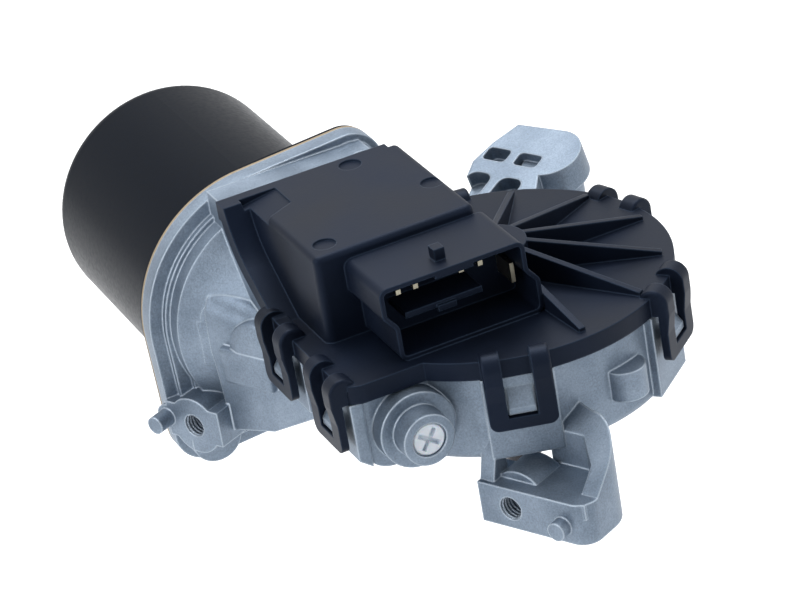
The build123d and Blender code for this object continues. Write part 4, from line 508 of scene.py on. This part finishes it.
# ---- Bushes ----
# Sintered bronze, pressed from powder, sized and soaked in oil, then pressed into place:
# open pores, dull golden brown.
sintered_bronze = material("sintered_bronze")
tree = sintered_bronze.node_tree
place = put(tree, "ShaderNodeTexCoord").outputs["Object"]
pores = put(tree, "ShaderNodeTexVoronoi", {"Vector": place, "Scale": 3200.0})
tone = put(tree, "ShaderNodeMix", {0: pores.outputs["Distance"], 6: colour("#5B4630"),
                                   7: colour("#A98A5E")}, data_type="RGBA")
open_pores = put(tree, "ShaderNodeBump", {"Height": pores.outputs["Distance"], "Strength": 0.4,
                                          "Distance": 0.0001})
skin = put(tree, "ShaderNodeBsdfPrincipled", {"Base Color": tone.outputs[2], "Metallic": 0.8,
                                              "Roughness": 0.5, "Normal": open_pores.outputs[0]})
put(tree, "ShaderNodeOutputMaterial", {"Surface": skin.outputs[0]})
for name in ("front_bush", "drive_bush", "rear_bush", "output_bushes"):
    nodes[name].material_slots[0].material = sintered_bronze

# ---- Armature shaft and lamination stack ----
# Ground steel shaft with a rolled worm, pressed into a stack of punched sheets. The 0.5 mm
# sheets show as lines on the stack.
sheet_pitch = 0.0005
ground_steel = material("ground_steel")
tree = ground_steel.node_tree
place = put(tree, "ShaderNodeTexCoord").outputs["Object"]
sheets = put(tree, "ShaderNodeTexWave", {"Vector": place, "Scale": 0.314 / sheet_pitch,
                                         "Distortion": 0.4}, bands_direction="Y")
tone = put(tree, "ShaderNodeMix", {0: sheets.outputs[1], 6: colour("#8D9197"), 7: colour("#BCC0C5")},
           data_type="RGBA")
edges = put(tree, "ShaderNodeBump", {"Height": sheets.outputs[1], "Strength": 0.2,
                                     "Distance": 0.00005})
skin = put(tree, "ShaderNodeBsdfPrincipled", {"Base Color": tone.outputs[2], "Metallic": 1.0,
                                              "Roughness": 0.3, "Normal": edges.outputs[0]})
put(tree, "ShaderNodeOutputMaterial", {"Surface": skin.outputs[0]})
for name in ("armature_shaft", "armature_core"):
    nodes[name].material_slots[0].material = ground_steel

# ---- Windings ----
# Enamelled copper wire, 0.7 mm, wound through the slots turn beside turn and soaked in
# varnish.
wire_size = 0.0007
enamelled_wire = material("enamelled_copper_wire")
tree = enamelled_wire.node_tree
place = put(tree, "ShaderNodeTexCoord").outputs["Object"]
turns = put(tree, "ShaderNodeTexWave", {"Vector": place, "Scale": 0.314 / wire_size,
                                        "Distortion": 3.0, "Detail": 2.0}, bands_direction="X")
tone = put(tree, "ShaderNodeMix", {0: turns.outputs[1], 6: colour("#4A1E0E"), 7: colour("#B4602F")},
           data_type="RGBA")
strands = put(tree, "ShaderNodeBump", {"Height": turns.outputs[1], "Strength": 0.6,
                                       "Distance": 0.0003})
skin = put(tree, "ShaderNodeBsdfPrincipled", {
    "Base Color": tone.outputs[2], "Metallic": 0.6, "Roughness": 0.35, "Coat Weight": 0.5,
    "Normal": strands.outputs[0],
})
put(tree, "ShaderNodeOutputMaterial", {"Surface": skin.outputs[0]})
nodes["armature_windings"].material_slots[0].material = enamelled_wire

# ---- Commutator bars and contact disc ----
# Hard copper, turned on the commutator and punched for the disc, with brush tracks that
# run round it.
hard_copper = material("turned_hard_copper")
tree = hard_copper.node_tree
place = put(tree, "ShaderNodeTexCoord").outputs["Object"]
tracks = put(tree, "ShaderNodeTexWave", {"Vector": place, "Scale": 900.0, "Distortion": 2.0},
             bands_direction="Y")
tone = put(tree, "ShaderNodeMix", {0: tracks.outputs[1], 6: colour("#8E4A2C"), 7: colour("#D08A62")},
           data_type="RGBA")
skin = put(tree, "ShaderNodeBsdfPrincipled", {"Base Color": tone.outputs[2], "Metallic": 1.0,
                                              "Roughness": 0.28})
put(tree, "ShaderNodeOutputMaterial", {"Surface": skin.outputs[0]})
for name in ("commutator_bars", "contact_disc"):
    nodes[name].material_slots[0].material = hard_copper

# ---- Worm wheel ----
# Moulded in acetal and fixed on the output shaft: ivory, slightly waxy and a little
# translucent.
acetal = material("moulded_acetal")
tree = acetal.node_tree
place = put(tree, "ShaderNodeTexCoord").outputs["Object"]
wax = put(tree, "ShaderNodeTexNoise", {"Vector": place, "Scale": 120.0, "Detail": 3.0})
tone = put(tree, "ShaderNodeMix", {0: wax.outputs[0], 6: colour("#DAD5C4"), 7: colour("#EFEBDD")},
           data_type="RGBA")
skin = put(tree, "ShaderNodeBsdfPrincipled", {
    "Base Color": tone.outputs[2], "Roughness": 0.35, "IOR": 1.48, "Subsurface Weight": 0.1,
    "Subsurface Scale": 0.001,
})
put(tree, "ShaderNodeOutputMaterial", {"Surface": skin.outputs[0]})
nodes["worm_wheel"].material_slots[0].material = acetal

# ---- Field magnets and chokes ----
# Pressed and fired ferrite, ground on its curved faces. The magnets are held in the can by
# spring clips. Charcoal grey with a fine grit.
ferrite = material("fired_ferrite")
tree = ferrite.node_tree
place = put(tree, "ShaderNodeTexCoord").outputs["Object"]
grit = put(tree, "ShaderNodeTexNoise", {"Vector": place, "Scale": 1800.0, "Detail": 4.0})
tone = put(tree, "ShaderNodeMix", {0: grit.outputs[0], 6: colour("#24262A"), 7: colour("#4A4D52")},
           data_type="RGBA")
rough = put(tree, "ShaderNodeBump", {"Height": grit.outputs[0], "Strength": 0.3, "Distance": 0.0001})
skin = put(tree, "ShaderNodeBsdfPrincipled", {"Base Color": tone.outputs[2], "Roughness": 0.6,
                                              "Normal": rough.outputs[0]})
put(tree, "ShaderNodeOutputMaterial", {"Surface": skin.outputs[0]})
for name in ("field_magnets", "suppression_chokes"):
    nodes[name].material_slots[0].material = ferrite

# ---- Brush plate and commutator core ----
# Punched phenolic board and a phenolic moulding under the bars: reddish brown with paper
# fibre showing.
phenolic = material("phenolic_laminate")
tree = phenolic.node_tree
place = put(tree, "ShaderNodeTexCoord").outputs["Object"]
paper = put(tree, "ShaderNodeTexNoise", {"Vector": place, "Scale": 500.0, "Detail": 5.0,
                                         "Distortion": 1.0})
tone = put(tree, "ShaderNodeMix", {0: paper.outputs[0], 6: colour("#4B2B19"), 7: colour("#86532F")},
           data_type="RGBA")
skin = put(tree, "ShaderNodeBsdfPrincipled", {"Base Color": tone.outputs[2], "Roughness": 0.5})
put(tree, "ShaderNodeOutputMaterial", {"Surface": skin.outputs[0]})
for name in ("brush_plate", "commutator_core"):
    nodes[name].material_slots[0].material = phenolic

# ---- Brushes ----
# Copper graphite blocks, pressed and baked, with a spring behind each: dark, with a metallic
# glint.
copper_graphite = material("pressed_copper_graphite")
tree = copper_graphite.node_tree
place = put(tree, "ShaderNodeTexCoord").outputs["Object"]
glints = put(tree, "ShaderNodeTexVoronoi", {"Vector": place, "Scale": 4000.0})
tone = put(tree, "ShaderNodeMix", {0: glints.outputs["Distance"], 6: colour("#5A4438"),
                                   7: colour("#1C1B1B")}, data_type="RGBA")
skin = put(tree, "ShaderNodeBsdfPrincipled", {"Base Color": tone.outputs[2], "Metallic": 0.5,
                                              "Roughness": 0.55})
put(tree, "ShaderNodeOutputMaterial", {"Surface": skin.outputs[0]})
for name in ("brush_common", "brush_low_speed", "brush_high_speed"):
    nodes[name].material_slots[0].material = copper_graphite

# ---- Circuit board ----
# Glass-epoxy board, routed to fit the electronics box, under green solder mask with the
# copper tracks faintly raised.
track_pitch = 0.004
solder_mask = material("green_solder_mask")
tree = solder_mask.node_tree
place = put(tree, "ShaderNodeTexCoord").outputs["Object"]
tracks = put(tree, "ShaderNodeTexBrick", {
    "Vector": place, "Scale": 1 / track_pitch, "Color1": colour("#1E5A33"),
    "Color2": colour("#256A3D"), "Mortar": colour("#2F8049"), "Mortar Size": 0.06,
})
raised = put(tree, "ShaderNodeBump", {"Height": tracks.outputs["Fac"], "Strength": 0.3,
                                      "Distance": 0.0001})
skin = put(tree, "ShaderNodeBsdfPrincipled", {"Base Color": tracks.outputs[0], "Roughness": 0.3,
                                              "Normal": raised.outputs[0]})
put(tree, "ShaderNodeOutputMaterial", {"Surface": skin.outputs[0]})
nodes["circuit_board"].material_slots[0].material = solder_mask

# ---- Relay, capacitor, thermal cutout ----
# Small moulded cases in dark polyester, soldered to the board or clipped to the brush plate:
# smoother than the cover.
polyester_case = material("dark_polyester_case")
tree = polyester_case.node_tree
place = put(tree, "ShaderNodeTexCoord").outputs["Object"]
skin_grain = put(tree, "ShaderNodeTexNoise", {"Vector": place, "Scale": 1500.0, "Detail": 2.0})
tone = put(tree, "ShaderNodeMix", {0: skin_grain.outputs[0], 6: colour("#1B1D22"),
                                   7: colour("#2A2D34")}, data_type="RGBA")
skin = put(tree, "ShaderNodeBsdfPrincipled", {"Base Color": tone.outputs[2], "Roughness": 0.35})
put(tree, "ShaderNodeOutputMaterial", {"Surface": skin.outputs[0]})
for name in ("relay", "capacitor", "thermal_cutout"):
    nodes[name].material_slots[0].material = polyester_case

# ---- Motor leads ----
# Stranded wire in dark blue cross-linked insulation, from the brush plate to the board, with
# the drawing lines of the die.
lead_cover = material("lead_insulation")
tree = lead_cover.node_tree
place = put(tree, "ShaderNodeTexCoord").outputs["Object"]
drawn = put(tree, "ShaderNodeMapping", {"Vector": place, "Scale": (4000.0, 200.0, 4000.0)})
lines = put(tree, "ShaderNodeTexNoise", {"Vector": drawn.outputs[0], "Scale": 1.0})
tone = put(tree, "ShaderNodeMix", {0: lines.outputs[0], 6: colour("#131A33"), 7: colour("#1E2A4C")},
           data_type="RGBA")
skin = put(tree, "ShaderNodeBsdfPrincipled", {"Base Color": tone.outputs[2], "Roughness": 0.4})
put(tree, "ShaderNodeOutputMaterial", {"Surface": skin.outputs[0]})
nodes["motor_leads"].material_slots[0].material = lead_cover

# ---- Output shaft ----
# Turned steel, black oxidised, with an M8 thread rolled on its free end and a plain seat for
# the crank arm above it. The black skin is satin, with slow changes of tone.
black_oxide = material("black_oxidised_steel")
tree = black_oxide.node_tree
place = put(tree, "ShaderNodeTexCoord").outputs["Object"]
cloud = put(tree, "ShaderNodeTexNoise", {"Vector": place, "Scale": 240.0, "Detail": 4.0})
tone = put(tree, "ShaderNodeMix", {0: cloud.outputs[0], 6: colour("#1B1B1D"), 7: colour("#35353A")},
           data_type="RGBA")
skin = put(tree, "ShaderNodeBsdfPrincipled", {"Base Color": tone.outputs[2], "Metallic": 0.7,
                                              "Roughness": 0.38})
put(tree, "ShaderNodeOutputMaterial", {"Surface": skin.outputs[0]})
nodes["output_shaft"].material_slots[0].material = black_oxide

# The thread is M8 x 1.25: the plain end is turned down to its root, and a ridge is wound on it.
thread_run = 0.01105
plain_radius = 0.00405
root_share = 0.825
shaft = merged_copy("output_shaft", "output_shaft_threaded")
bpy.ops.object.mode_set(mode="EDIT")
pick(shaft, lambda v: v.co.z < thread_run and math.hypot(v.co.x, v.co.y) < plain_radius, "vertices")
bpy.ops.transform.resize(value=(root_share, root_share, 1.0), center_override=(0, 0, 0))
bpy.ops.object.mode_set(mode="OBJECT")
shaft_thread = wound_ridge(7, 0.00125, 0.00350, 0.00075, True)
place_in(Matrix.Translation((0, 0, 0.0011)), shaft_thread)
join_parts(shaft, (shaft_thread,), black_oxide)
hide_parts("output_shaft")
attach(shaft, "output")
